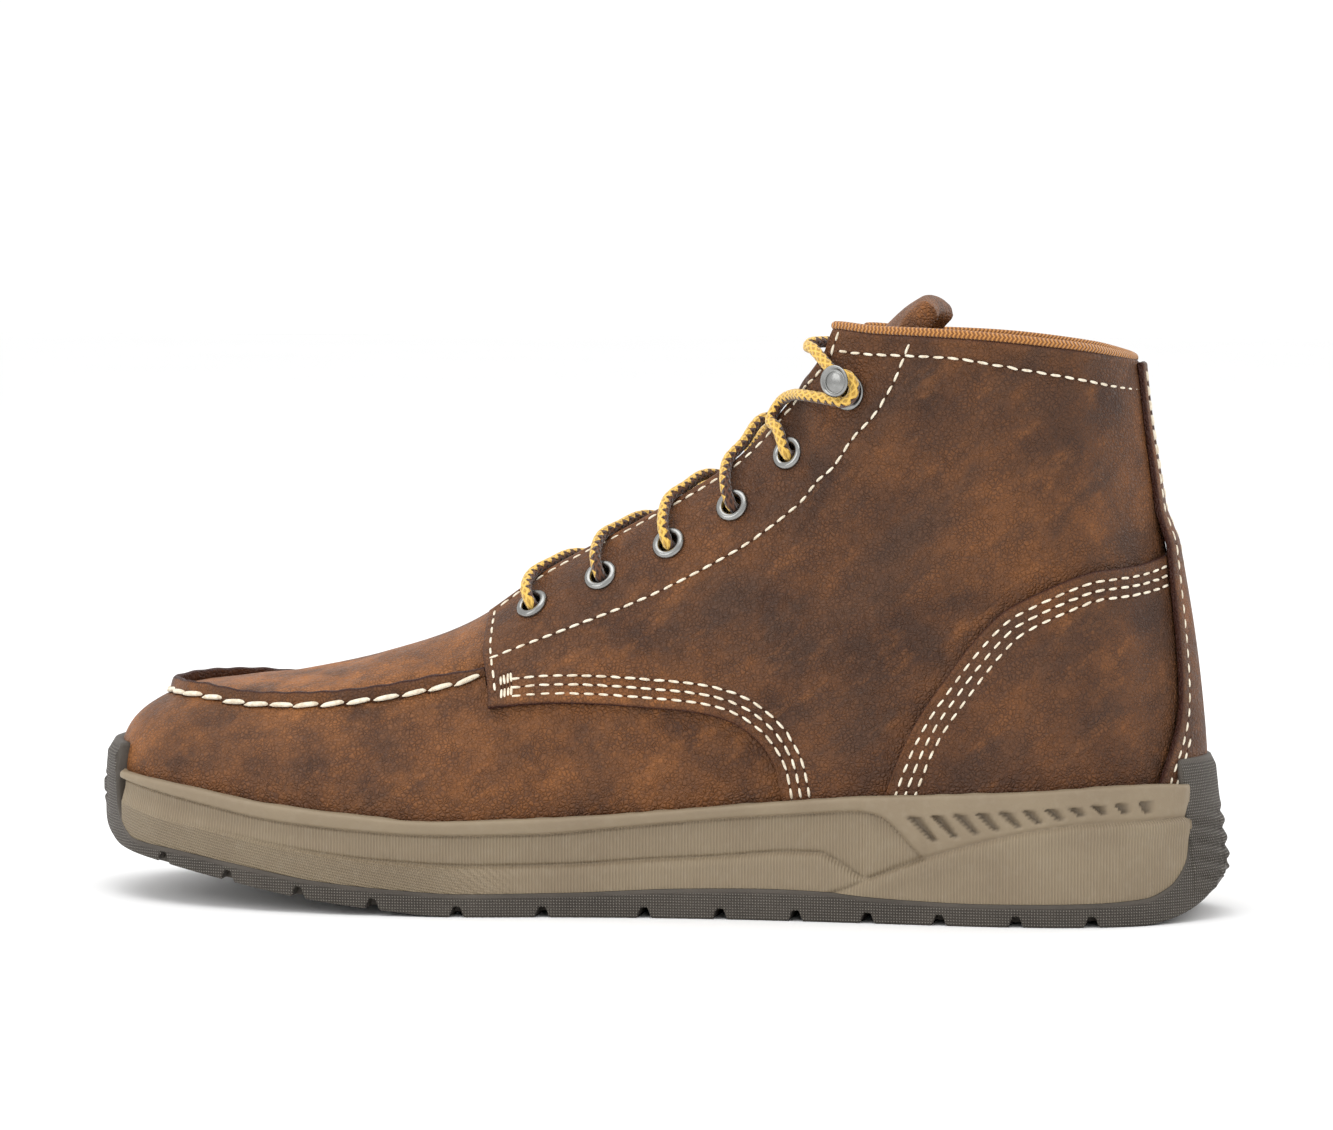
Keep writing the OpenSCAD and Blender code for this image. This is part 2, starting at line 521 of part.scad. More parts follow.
// From eyelet k over the throat's edge, across, and under the other edge to the next one.
function crossing(s, k) = let (
        a = EYELETS[k][0], b = EYELETS[k + 1][0], t = EYELETS[k + 1][1],
        m = between(a, b, 0.5))
    [upper(s * (a - 0.02), between(EYELETS[k][1], edge_t, 0.4), over_d + 0.9),
        upper(s * (a + 0.02), edge_t, over_d + 0.4),
        upper(s * between(a, b, 0.22), edge_t + 0.06, over_d - 1),
        mid_throat(m, s * cross_d),
        upper(-s * between(a, b, 0.85), 0.84, under_d),
        upper(-s * b, t + 0.08, under_d - 0.4)];
// Point round a hook's stem: angle 0 towards the heel, 90 up, at radius r and height h.
function hook_point(s, angle, r, h) = let (
        w = s * HOOK[0], t = HOOK[1], n = outward(w, t),
        up = unit(surface_point(w, t + 0.02) - surface_point(w, t - 0.02)),
        back = unit(surface_point(w + s * 0.02, t) - surface_point(w - s * 0.02, t)))
    upper(w, t, h) + r * (back * cos(angle) + up * sin(angle));
wrap_r = 1.9 + lace_d / 2 + 0.45;
wrap_h = quarter_d + leather + 1.2 + lace_d / 2 + 0.3;
// From the last eyelet round the hook, over the edge and down into the throat.
function hook_run(s) = concat(
    [upper(s * 8.97, 0.79, over_d + 1.2), upper(s * 9.2, 0.845, over_d + 0.5),
        upper(s * 9.6, 0.845, over_d + 0.3), upper(s * 10.05, 0.82, over_d + 0.6)],
    [for (a = [-110:33:90]) hook_point(s, a, wrap_r, wrap_h)],
    [hook_point(s, 130, wrap_r + 3, wrap_h + 0.2), upper(s * 10.15, 0.93, over_d + 0.6),
        upper(s * 9.95, 0.97, 1)]);
tuck_d = -6.3;
tuck_y = lace_d / 2 + gap / 2;
function tuck(s) = [for (u = [9.75, 9.4, 9, 8.5, 8, 7.5, 7.1, 6.8])
    mid_throat(u, tuck_d) + [0, -s * tuck_y * (u > 9.6 ? 2.5 : u > 9.3 ? 1.5 : 1), 0]];
AGLET = [6.77, 6.45, 6.1];
function aglet_run(s) = [for (u = AGLET) mid_throat(u, tuck_d) + [0, -s * tuck_y, 0]];
// Half of the lace, from the bar between the lowest eyelets to one free end.
function half_lace(s) = concat(
    [mid_throat(EYELETS[0][0], under_d - 0.6), upper(s * EYELETS[0][0], 0.88, under_d)],
    [for (k = [0:len(EYELETS) - 2], p = let (side = k % 2 == 0 ? s : -s)
        concat(up_eyelet(side, k), crossing(side, k))) p],
    up_eyelet(s, len(EYELETS) - 1),
    hook_run(s), tuck(s));
function backwards(list) = [for (k = [len(list) - 1:-1:0]) list[k]];
function tail(list) = [for (k = [1:len(list) - 1]) list[k]];
LACE_ROUTE = concat(backwards(half_lace(1)), tail(half_lace(-1)));
module lace() color([0.4, 0.25, 0.15]) tube(LACE_ROUTE, lace_d / 2);
module aglets() color([0.2, 0.13, 0.09])
    for (s = [-1, 1]) tube(aglet_run(s), 1.6);

outsole();
midsole();
shank();
insole_board();
footbed_foam();
footbed_cover();
steel_toe_cap();
toe_cap_edge_strip();
heel_counter();
ankle_padding();
vamp();
toe_plug();
moc_seam_thread();
quarter_medial();
quarter_lateral();
heel_panel_medial();
heel_panel_lateral();
backstay();
collar_piping();
vamp_lining();
ankle_lining();
eyestay_facing_medial();
eyestay_facing_lateral();
eyelets_medial();
eyelets_lateral();
lace_hook_medial();
lace_hook_lateral();
tongue_leather();
tongue_foam();
tongue_lining();
lace();
aglets();
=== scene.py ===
"""Looks of the steel toe work boot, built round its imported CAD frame.

Lengths in this file are millimetres until a mesh is made, where MM turns them into metres. The
upper is a surface addressed by rib number w (0 toe, medial 1..15 heel, lateral -1..-15) and by
height t (0 at the sole, 1 at the top edge), as in the part's own source. Depth d is measured out
of that surface. Side is 1 for the medial side and -1 for the lateral side.
"""
import math

import bmesh
import bpy
import numpy as np
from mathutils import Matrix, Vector


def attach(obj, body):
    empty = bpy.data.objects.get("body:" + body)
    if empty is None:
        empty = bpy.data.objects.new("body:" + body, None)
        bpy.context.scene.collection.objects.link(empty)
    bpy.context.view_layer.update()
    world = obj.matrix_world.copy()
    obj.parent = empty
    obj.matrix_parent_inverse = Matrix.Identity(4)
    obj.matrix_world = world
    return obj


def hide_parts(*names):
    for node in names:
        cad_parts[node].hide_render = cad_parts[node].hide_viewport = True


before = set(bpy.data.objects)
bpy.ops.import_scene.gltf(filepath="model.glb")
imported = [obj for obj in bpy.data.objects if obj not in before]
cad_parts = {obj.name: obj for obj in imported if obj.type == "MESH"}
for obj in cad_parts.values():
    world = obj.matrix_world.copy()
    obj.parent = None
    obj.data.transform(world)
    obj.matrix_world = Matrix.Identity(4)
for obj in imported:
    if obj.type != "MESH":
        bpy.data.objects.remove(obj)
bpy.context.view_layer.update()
MM = 0.001
RNG = np.random.default_rng(7)
SIDES = {1: "medial", -1: "lateral"}


# ---- Camera ----
CAMERA_AZIMUTH = math.radians(12)
CAMERA_ELEVATION = math.radians(4.15)
CAMERA_DISTANCE = 1.3
CAMERA_TARGET = Vector((0.0024, 0, 0.0902))

camera = bpy.data.objects.new("camera", bpy.data.cameras.new("camera"))
bpy.context.scene.collection.objects.link(camera)
bpy.context.scene.camera = camera
camera.data.lens = 130
camera.data.sensor_width = 36
away = Vector((math.sin(CAMERA_AZIMUTH) * math.cos(CAMERA_ELEVATION),
               -math.cos(CAMERA_AZIMUTH) * math.cos(CAMERA_ELEVATION),
               math.sin(CAMERA_ELEVATION)))
camera.location = CAMERA_TARGET + CAMERA_DISTANCE * away
camera.rotation_euler = (-away).to_track_quat("-Z", "Y").to_euler()


# ---- The surface of the upper, as in the part's source ----
RIBS = [
    ((-149, 0, 26), (-152.5, 0, 44), (-147, 0, 56), (-112, 0, 58.5), 1, 0),
    ((-144.5, 19, 26), (-148, 21, 44), (-142, 17, 56), (-111, 0, 58.7), 0.98, 3),
    ((-131, 34, 25), (-134, 38, 44), (-130, 28, 56.5), (-109, 0, 59), 1, 7),
    ((-107, 43, 23), (-108, 48, 42), (-106, 31, 58.5), (-98, 0, 60.5), 1.06, 8),
    ((-78, 47, 20), (-78, 52, 42), (-77, 33, 65), (-76, 0, 65.5), 1.13, 6),
    ((-48, 46, 18.5), (-48, 51.5, 46), (-50, 27, 74.5), (-52, 0, 74), 1.18, 4),
    ((-20, 40.5, 19), (-20, 45, 52), (-23, 27, 93), (-27, 0, 90), 1.22, 0),
    ((5, 36.5, 20.5), (5, 40.5, 58), (0, 27, 106), (-1, 0, 104.5), 1.22, 0),
    ((30, 34, 23), (31, 37, 65), (26, 27, 121.5), (22, 0, 121), 1.17, 0),
    ((50, 33, 24.5), (52, 35.5, 70), (40, 27, 131), (38, 0, 141), 1.1, 0),
    ((62, 32.5, 25), (66, 34.5, 75), (46, 28, 130), (49, 20, 153.5), 1.07, 0),
    ((78, 32, 25.5), (80, 33, 75), (62, 32, 122), (66, 30.5, 153.5), 1.04, 0),
    ((97, 31, 26), (97, 32, 70), (91, 32, 118), (90, 34, 152.5), 1.02, 0),
    ((117, 27.5, 26), (118, 28.5, 65), (112, 24, 112), (113, 27, 150), 1.02, 0),
    ((133, 18, 26.5), (135, 18.5, 60), (124.5, 12.5, 110), (123.5, 14.5, 147.8), 1.02, 0),
    ((142.5, 0, 27), (145, 0, 60), (130.5, 0, 112), (127.5, 0, 146.5), 1, 0),
]
HEEL = len(RIBS) - 1
AROUND = 2 * HEEL


def rib_points(rib, side):
    if side > 0:
        return [(x, -y, z) for x, y, z in rib[:4]]
    wide = (rib[4], rib[4], 1 + (rib[4] - 1) / 2, 1 + (rib[4] - 1) / 5)
    shift = (rib[5], rib[5], rib[5] / 2, 0)
    return [(x + shift[k], y * wide[k], z) for k, (x, y, z) in enumerate(rib[:4])]


LOOP = np.array([rib_points(r, 1) for r in RIBS]
                + [rib_points(RIBS[k], -1) for k in range(HEEL - 1, 0, -1)], float)


def spline(a, b, c, d, f):
    """Catmull-Rom curve from b to c at f."""
    return (2 * b + (c - a) * f + (2 * a - 5 * b + 4 * c - d) * f ** 2
            + (3 * b - a - 3 * c + d) * f ** 3) / 2


def surface(w, t):
    w, t = np.broadcast_arrays(np.asarray(w, float), np.asarray(t, float))
    k = np.floor(w).astype(int)
    f = (w - k)[..., None, None]
    curve = spline(*(LOOP[(k + i) % AROUND] for i in (-1, 0, 1, 2)), f)
    t, s = t[..., None], 1 - t[..., None]
    return (curve[..., 0, :] * s ** 3 + 3 * curve[..., 1, :] * t * s ** 2
            + 3 * curve[..., 2, :] * t ** 2 * s + curve[..., 3, :] * t ** 3)


def slopes(w, t, e=0.02):
    """How the surface moves with w and with t."""
    t = np.clip(t, e, 0.94)
    return ((surface(w + e, t) - surface(w - e, t)) / (2 * e),
            (surface(w, t + e) - surface(w, t - e)) / (2 * e))


def unit(v):
    return v / np.maximum(np.linalg.norm(v, axis=-1, keepdims=True), 1e-9)


def run_along(path):
    """Distance from the path's start to each of its points."""
    return np.concatenate([[0], np.linalg.norm(np.diff(path, axis=0), axis=1).cumsum()])


def outward(w, t):
    along, up = slopes(w, t)
    return unit(np.cross(along, up))


def upper(w, t, d):
    return surface(w, t) + np.asarray(d)[..., None] * outward(w, t)


def smooth(table, parts=24):
    """The table's line with its corners eased, and with no rise or dip of its own."""
    x, y = np.array(table, float).T
    rise = np.diff(y) / np.diff(x)
    inner = np.where(rise[1:] * rise[:-1] > 0, 2 * rise[1:] * rise[:-1]
                     / np.where(rise[1:] + rise[:-1] == 0, 1, rise[1:] + rise[:-1]), 0)
    m = np.concatenate([rise[:1], inner, rise[-1:]])
    f = (np.arange(parts) / parts)[None, :]
    h = np.diff(x)[:, None]
    line = ((2 * f ** 3 - 3 * f ** 2 + 1) * y[:-1, None]
            + (f ** 3 - 2 * f ** 2 + f) * h * m[:-1, None]
            + (3 * f ** 2 - 2 * f ** 3) * y[1:, None] + (f ** 3 - f ** 2) * h * m[1:, None])
    return np.stack([np.append((x[:-1, None] + h * f).ravel(), x[-1]), np.append(line, y[-1])], 1)


def line_at(table, x):
    return np.interp(x, *np.array(table, float).T)


def edge(table, w):
    """Height of an edge line at rib number w, on either side."""
    return line_at(table, np.abs((np.asarray(w, float) + HEEL) % AROUND - HEEL))


# Lines on the upper as (w, t): the edges of its panels, and the rows of stitches inside them.
SEAM = smooth([(0, 0.68), (1, 0.7), (2, 0.69), (3, 0.615), (4, 0.565), (5, 0.54), (6, 0.5)])
THROAT = smooth([(5.3, 0.83), (6, 0.86), (7, 0.86), (8, 0.85), (9, 0.86), (9.8, 0.875),
                 (10.18, 0.93), (10.3, 1)])
WING = smooth([(5.3, 0.405), (6, 0.36), (7, 0.295), (7.7, 0.24), (8.1, 0.19), (8.4, 0.12),
               (8.56, 0)])
HEEL_EDGE = smooth([(10.3, 0), (10.4, 0.06), (11.4, 0.27), (12.3, 0.44), (13.4, 0.54),
                    (15, 0.575)])
FACING_EDGE = smooth([(5.4, 0.6), (8.9, 0.63), (10.2, 0.7), (11.1, 0.78)])
SECOND_ROW = smooth([(5.38, 0.569), (6.1, 0.553), (7, 0.554), (7.8, 0.566), (8.27, 0.576),
                     (8.99, 0.594), (10.04, 0.641), (10.68, 0.743), (10.98, 0.803),
                     (11.21, 0.88), (11.4, 0.995)])
COLLAR_ROW = smooth([(10.42, 0.935), (11.3, 0.948), (11.8, 0.95), (12.3, 0.943), (12.9, 0.938),
                     (14.83, 0.924)])
# The backstay's edge is given as (t, w).
BACKSTAY_EDGE = smooth([(0, 13.9), (0.1, 14.1), (0.27, 14.48), (0.5, 14.6), (0.8, 14.75),
                        (1, 14.78)])
EYELETS = [(5.81, 0.7), (6.55, 0.682), (7.29, 0.68), (7.98, 0.69), (8.9, 0.718)]
HOOK = (10.6, 0.835)

# Layers of the upper: thicknesses, and the depth d at which each panel starts.
GAP = 0.3
LEATHER = 1.7
QUARTER_D = GAP
HEEL_PANEL_D = QUARTER_D + LEATHER + GAP
BACKSTAY_D = HEEL_PANEL_D + LEATHER + GAP
FACING = 2.4
PADDING = 2.2
LINING = 1.2
LINING_D = -PADDING - GAP - LINING
FACE = QUARTER_D + LEATHER
QUARTER_FRONT = 5.32
MM_PER_RIB = 28.0


# ---- Making meshes ----
def add_piece(name, points, faces, material, slot, body="boot", replaces=(), **attributes):
    """A mesh piece in metres that rides on a body. Attributes hold one value or vector a point."""
    mesh = bpy.data.meshes.new(name)
    mesh.from_pydata((np.asarray(points) * MM).tolist(), [], [list(f) for f in faces])
    for key, values in attributes.items():
        values = np.asarray(values, np.float32)
        kind, field = ("FLOAT_VECTOR", "vector") if values.ndim == 2 else ("FLOAT", "value")
        mesh.attributes.new(key, kind, "POINT").data.foreach_set(field, values.ravel())
    mesh.polygons.foreach_set("use_smooth", np.ones(len(mesh.polygons), bool))
    mesh.materials.append(material)
    mesh.update()
    obj = bpy.data.objects.new(name, mesh)
    bpy.context.scene.collection.objects.link(obj)
    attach(obj, body)
    if replaces:
        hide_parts(*replaces)
    return obj


def count_points(arrays):
    return sum(len(v) for v in arrays)


def grid_faces(n, m, start=0, flip=False):
    i, j = np.meshgrid(np.arange(n - 1), np.arange(m - 1), indexing="ij")
    a = (start + i * m + j).ravel()
    faces = np.stack([a, a + m, a + m + 1, a + 1], 1)
    return faces[:, ::-1] if flip else faces


def shell_faces(n, m):
    """Faces of a closed sheet: n by m points of its outer skin, then of its inner skin."""
    q = n * m
    i, j = np.arange(n - 1) * m, np.arange(m - 1)
    last = (n - 1) * m
    return np.concatenate([
        grid_faces(n, m), grid_faces(n, m, q, True),
        np.stack([i, q + i, q + i + m, i + m], 1),
        np.stack([i + m - 1, i + 2 * m - 1, q + i + 2 * m - 1, q + i + m - 1], 1),
        np.stack([j, j + 1, q + j + 1, q + j], 1),
        np.stack([last + j, q + last + j, q + last + j + 1, last + j + 1], 1)])


def ring_faces(rings, sides):
    """Faces between rings of points that go round a tube."""
    i, j = (v.ravel() for v in np.meshgrid(np.arange(rings - 1), np.arange(sides),
                                           indexing="ij"))
    l = (j + 1) % sides
    return np.stack([i * sides + j, (i + 1) * sides + j, (i + 1) * sides + l, i * sides + l], 1)


NEAR_EDGE = (0, 0.12, 0.3, 0.6, 1.1)


def fractions(length, step, near=NEAR_EDGE):
    """For lines of these lengths: fractions that are close together near both ends."""
    length = np.atleast_1d(np.asarray(length, float))
    near = np.array(near, float)
    scale = np.minimum(1, length / (3 * near[-1]))
    ends = near[None, :] * scale[:, None] / length[:, None]
    count = max(2, int(np.ceil(np.percentile(length, 80) / step)))
    f = np.linspace(0, 1, count + 1)[None, 1:-1]
    middle = ends[:, -1:] + (1 - 2 * ends[:, -1:]) * f
    return np.concatenate([ends, middle, 1 - ends[:, ::-1]], 1)


def fine_span(a, b, step):
    """Rib numbers from a to b, closer together near both ends."""
    return a + (b - a) * fractions((b - a) * MM_PER_RIB, step)[0]


def edge_drop(distance, radius=0.5):
    """How much a rounded edge falls away at this distance from it."""
    x = np.clip(radius - distance, 0, radius)
    return radius - np.sqrt(radius ** 2 - x ** 2)


WAVES = RNG.normal(size=(40, 3))
PHASES = RNG.uniform(0, 2 * math.pi, 40)


def soft(value, low, high):
    """Rises smoothly from 0 at low to 1 at high, or falls if high is the lower."""
    f = np.clip((value - low) / (high - low), 0, 1)
    return f * f * (3 - 2 * f)


def ripple(points, size, seed=0):
    """Smooth random hills, about -1 to 1, that are about this far apart."""
    total = 0
    for k in range(seed * 6, seed * 6 + 6):
        total = total + np.sin(points @ (WAVES[k % 40] * 2.2 / size) + PHASES[k % 40])
    return total / 2.6


def bump(distance, width):
    """A smooth hill, 1 high at distance 0."""
    return np.exp(-(distance / width) ** 2)


def panel_grid(ws, low, high, step):
    """Grid of rib numbers and heights between two edge lines, with each point's distance to the
    low and high lines and to the first and last ribs."""
    ws, low, high = (np.asarray(v, float) for v in (ws, low, high))
    line = surface(ws[:, None], low[:, None] + (high - low)[:, None] * np.linspace(0, 1, 25))
    length = np.linalg.norm(np.diff(line, axis=1), axis=2).sum(1)
    f = fractions(length, step)
    w = np.broadcast_to(ws[:, None], f.shape)
    t = low[:, None] + (high - low)[:, None] * f
    rows = (f * length[:, None], (1 - f) * length[:, None])
    return w, t, rows, across_rows(surface(w, t))


def across_rows(points):
    """Distance of each point of a grid to the grid's first row and to its last row."""
    steps = np.linalg.norm(np.diff(points, axis=0), axis=2)
    run = np.concatenate([np.zeros((1, points.shape[1])), steps.cumsum(0)])
    return run, run[-1] - run


def edge_rim(distance):
    """How dark the cut edge of a leather is."""
    return np.exp(-np.maximum(distance - 0.15, 0) / 0.3)


def cloth_shell(name, w, t, inner, outer, distance, material, slot, relief=0.0, inside=0.0,
                holes=(), wear=0.0, **options):
    """A closed sheet over a grid of the upper, with rounded edges and holes for the lacing. Its
    outer skin is raised by relief, and its inner skin by inside."""
    drop = edge_drop(distance)
    top = upper(w, t, outer - drop + relief)
    bottom = upper(w, t, inner + drop + inside)
    n, m = w.shape
    faces = shell_faces(n, m)
    rim = edge_rim(distance)
    points = np.concatenate([top.reshape(-1, 3), bottom.reshape(-1, 3)])
    for centre, axis, radius in holes:
        middle = points[faces].mean(1) - centre
        off_axis = np.linalg.norm(middle - (middle @ axis)[:, None] * axis, axis=1)
        faces = faces[(off_axis > radius) | (np.linalg.norm(middle, axis=1) > HOLE_REACH)]
    return add_piece(name, points, faces, material, slot,
                     rim=np.concatenate([rim.ravel(), np.ones(n * m)]),
                     wear=np.tile(np.broadcast_to(wear, w.shape).ravel(), 2), **options)


# The distance from an edge for a sheet whose edges are hidden and stay square.
NO_EDGE = 9.0
# A hole is cut only this close to its centre, so not through the far side of the boot.
HOLE_REACH = 9


def mirrored(side, ws):
    """Rib numbers for this side, always rising."""
    return ws if side > 0 else -ws[::-1]


# ---- Materials ----
class Look:
    """A procedural material and short names for its nodes."""

    def __init__(self, name, **principled):
        self.material = bpy.data.materials.new(name)
        self.material.use_nodes = True
        self.tree = self.material.node_tree
        self.shader = self.tree.nodes["Principled BSDF"]
        self.set(**principled)

    def put(self, socket, value):
        if isinstance(value, bpy.types.NodeSocket):
            self.tree.links.new(value, socket)
        elif isinstance(value, tuple) and socket.type == "RGBA":
            socket.default_value = (*value, 1)
        else:
            socket.default_value = value

    def set(self, **values):
        for key, value in values.items():
            self.put(self.shader.inputs[key.replace("_", " ")], value)

    def node(self, kind, values, out=0, **settings):
        made = self.tree.nodes.new("ShaderNode" + kind)
        for key, value in settings.items():
            setattr(made, key, value)
        for key, value in values.items():
            self.put(made.inputs[key], value)
        return made.outputs[out]

    def place(self):
        return self.node("TexCoord", {}, "Object")

    def noise(self, scale, detail=2.0, at=None, roughness=0.5):
        return self.node("TexNoise", {"Vector": at or self.place(), "Scale": scale,
                                      "Detail": detail, "Roughness": roughness})

    def cells(self, scale, at=None, feature="DISTANCE_TO_EDGE"):
        return self.node("TexVoronoi", {"Vector": at or self.place(), "Scale": scale},
                         feature=feature)

    def value(self, name, out="Fac"):
        return self.node("Attribute", {}, out, attribute_name=name)

    def three_values(self, name):
        """The three numbers of a vector attribute."""
        apart = self.tree.nodes.new("ShaderNodeSeparateXYZ")
        self.put(apart.inputs[0], self.value(name, "Vector"))
        return apart.outputs

    def math(self, operation, a, b=0.0):
        return self.node("Math", {0: a, 1: b}, operation=operation)

    def add(self, a, b):
        return self.math("ADD", a, b)

    def times(self, a, b):
        return self.math("MULTIPLY", a, b)

    def waves(self, value, length):
        """A sine that repeats each time the value grows by this length."""
        return self.math("SINE", self.times(value, 2 * math.pi / length))

    def ramp(self, value, low, high, start=0.0, end=1.0):
        return self.node("MapRange", {"Value": value, "From Min": low, "From Max": high,
                                      "To Min": start, "To Max": end})

    def mix(self, factor, a, b):
        return self.node("Mix", {0: factor, 6: a, 7: b}, 2, data_type="RGBA")

    def bump(self, height, distance, strength=1.0):
        self.set(Normal=self.node("Bump", {"Height": height, "Distance": distance,
                                           "Strength": strength}))


def leather_look():
    """Oiled leather: dark clouds, paler strokes where it was pulled, and a fine pebbled grain with
    painted shade in its grooves.
    """
    k = Look("brown_leather", Specular_IOR_Level=0.25)
    place = k.place()
    bent = k.node("VectorMath", {0: k.node("TexNoise", {"Vector": place, "Scale": 420.0}, 1),
                                 1: (0.0016, 0.0016, 0.0016), 2: place},
                  operation="MULTIPLY_ADD")
    tilted = k.node("Mapping", {"Vector": place, "Rotation": (0, -0.7, 0), "Scale": (2.6, 1, 0.8)},
                    vector_type="TEXTURE")
    cloud = k.noise(34.0, 5.0, roughness=0.62)
    patch = k.noise(75.0, 4.0, tilted, 0.6)
    speck = k.noise(330.0, 4.0, roughness=0.7)
    stroke = k.noise(120.0, 5.0, tilted, 0.68)
    body = k.mix(k.ramp(cloud, 0.36, 0.64), (0.068, 0.029, 0.014), (0.2, 0.076, 0.024))
    body = k.mix(k.ramp(patch, 0.46, 0.68, 0.0, 0.7), body, (0.07, 0.037, 0.023))
    rubbed = k.ramp(k.noise(85.0, 5.0, roughness=0.66), 0.36, 0.62, 0.1, 1.0)
    pulled = k.add(k.ramp(stroke, 0.55, 0.75, 0.0, 0.4), k.times(k.value("wear"), rubbed))
    body = k.mix(k.math("MINIMUM", pulled, 1.0), body, (0.42, 0.16, 0.045))
    body = k.mix(k.ramp(speck, 0.35, 0.7, 0.35, 0.0), body, (0.04, 0.02, 0.012))
    grain = k.ramp(k.cells(920.0, bent), 0.0, 0.3)
    pores = k.ramp(k.cells(430.0, bent, "F1"), 0.1, 0.6)
    # Painted shade: the leather is darkened in patches along the grooves between the pebbles.
    groove_shade = k.ramp(k.noise(150.0, 3.0), 0.38, 0.62, 0.25, 1.0)
    body = k.mix(k.times(k.ramp(grain, 0.0, 0.5, 0.6, 0.0), groove_shade), body,
                 (0.03, 0.012, 0.007))
    # The rim attribute darkens cut edges and backs, which is their own colour, and on the toe plug
    # it is painted shade beside the moc seam.
    body = k.mix(k.value("rim"), body, (0.045, 0.014, 0.008))
    k.set(Base_Color=body, Roughness=k.ramp(speck, 0.3, 0.7, 0.42, 0.62))
    k.bump(k.add(k.times(grain, 0.8), k.times(pores, 0.5)), 0.00034)
    return k.material


def plain_look(name, colour, dark, scale, roughness=0.9, depth=0.0002):
    """A plain surface of small loops, fibres or pores, with painted shade in the hollows between
    them: linings, foams, boards and plastics.
    """
    k = Look(name, Roughness=roughness, Specular_IOR_Level=0.2, Sheen_Weight=0.25,
             Sheen_Roughness=0.5)
    holes = k.ramp(k.cells(scale, feature="F1"), 0.25, 0.6)
    # Painted shade: darker in the low hollows between the cells.
    body = k.mix(holes, colour, dark)
    k.set(Base_Color=k.mix(k.ramp(k.noise(60.0), 0.3, 0.7, 0.0, 0.3), body, dark))
    k.bump(k.math("SUBTRACT", 1.0, holes), depth, 0.8)
    return k.material


def thread_look():
    k = Look("thread", Roughness=0.75, Specular_IOR_Level=0.25, Sheen_Weight=0.3)
    dirt = k.noise(700.0, 2.0)
    k.set(Base_Color=k.mix(k.ramp(dirt, 0.4, 0.8), (0.9, 0.82, 0.66), (0.55, 0.44, 0.3)))
    k.bump(k.noise(4000.0, 1.0), 0.0001, 0.6)
    return k.material


def midsole_look():
    """Moulded foam. Its mark holds the run along the sole, the height, and the kind of texture: 0
    smooth, 1 upright lines, 2 slanted pips."""
    k = Look("midsole_foam", Roughness=0.55, Specular_IOR_Level=0.35)
    run, up, kind = k.three_values("mark")
    upright = k.waves(run, 0.85)
    slanted = k.times(k.waves(k.add(run, up), 1.1),
                      k.waves(k.math("SUBTRACT", run, k.times(up, 0.6)), 1.5))
    height = k.node("Mix", {0: k.ramp(kind, 1.0, 2.0), 2: k.times(upright, 0.35),
                            3: k.times(slanted, 0.8)}, 0)
    height = k.times(height, k.ramp(kind, 0.0, 0.8))
    cloud = k.noise(45.0, 3.0)
    body = k.mix(k.ramp(cloud, 0.35, 0.7), (0.255, 0.195, 0.126), (0.3, 0.235, 0.152))
    body = k.mix(k.ramp(k.noise(420.0, 3.0), 0.5, 0.8, 0.0, 0.35), body, (0.34, 0.28, 0.2))
    # Painted shade: darker in the low parts of the moulded lines and pips.
    body = k.mix(k.ramp(height, -0.5, 0.3, 0.4, 0.0), body, (0.12, 0.09, 0.06))
    # The rim attribute here is painted shade in the heel's recesses and at the ledge's inner edge.
    body = k.mix(k.value("rim"), body, (0.06, 0.043, 0.03))
    k.set(Base_Color=body)
    k.bump(k.add(height, k.times(k.noise(1500.0, 2.0), 0.25)), 0.0003)
    return k.material


def rubber_look():
    """Dark rubber with a fine knurl where the third number of its mark is 1, with a painted
    highlight on the knurl's crests.
    """
    k = Look("rubber", Roughness=0.6, Specular_IOR_Level=0.35)
    run, up, kind = k.three_values("mark")
    crossed = k.times(k.waves(k.add(run, up), 1.5), k.waves(k.math("SUBTRACT", run, up), 1.5))
    knurl = k.times(crossed, k.ramp(kind, 0.0, 1.0))
    body = k.mix(k.ramp(k.noise(60.0, 3.0), 0.35, 0.7), (0.062, 0.052, 0.042),
                 (0.09, 0.076, 0.062))
    # Painted highlight: the knurl's crests are paler.
    body = k.mix(k.ramp(knurl, 0.35, 0.85, 0.0, 0.9), body, (0.3, 0.27, 0.23))
    k.set(Base_Color=body)
    k.bump(k.add(knurl, k.times(k.noise(1800.0, 2.0), 0.3)), 0.0004)
    return k.material


def metal_look(name, colour, roughness):
    k = Look(name, Metallic=1.0, Base_Color=colour, Roughness=roughness)
    smear = k.noise(380.0, 3.0)
    k.set(Base_Color=k.mix(k.ramp(smear, 0.35, 0.75, 0.0, 0.5), colour,
                           tuple(0.55 * c for c in colour)),
          Roughness=k.ramp(smear, 0.3, 0.7, roughness - 0.08, roughness + 0.14))
    k.bump(k.noise(900.0, 2.0), 0.00004, 0.4)
    return k.material


BRAID_PITCH = 2.6


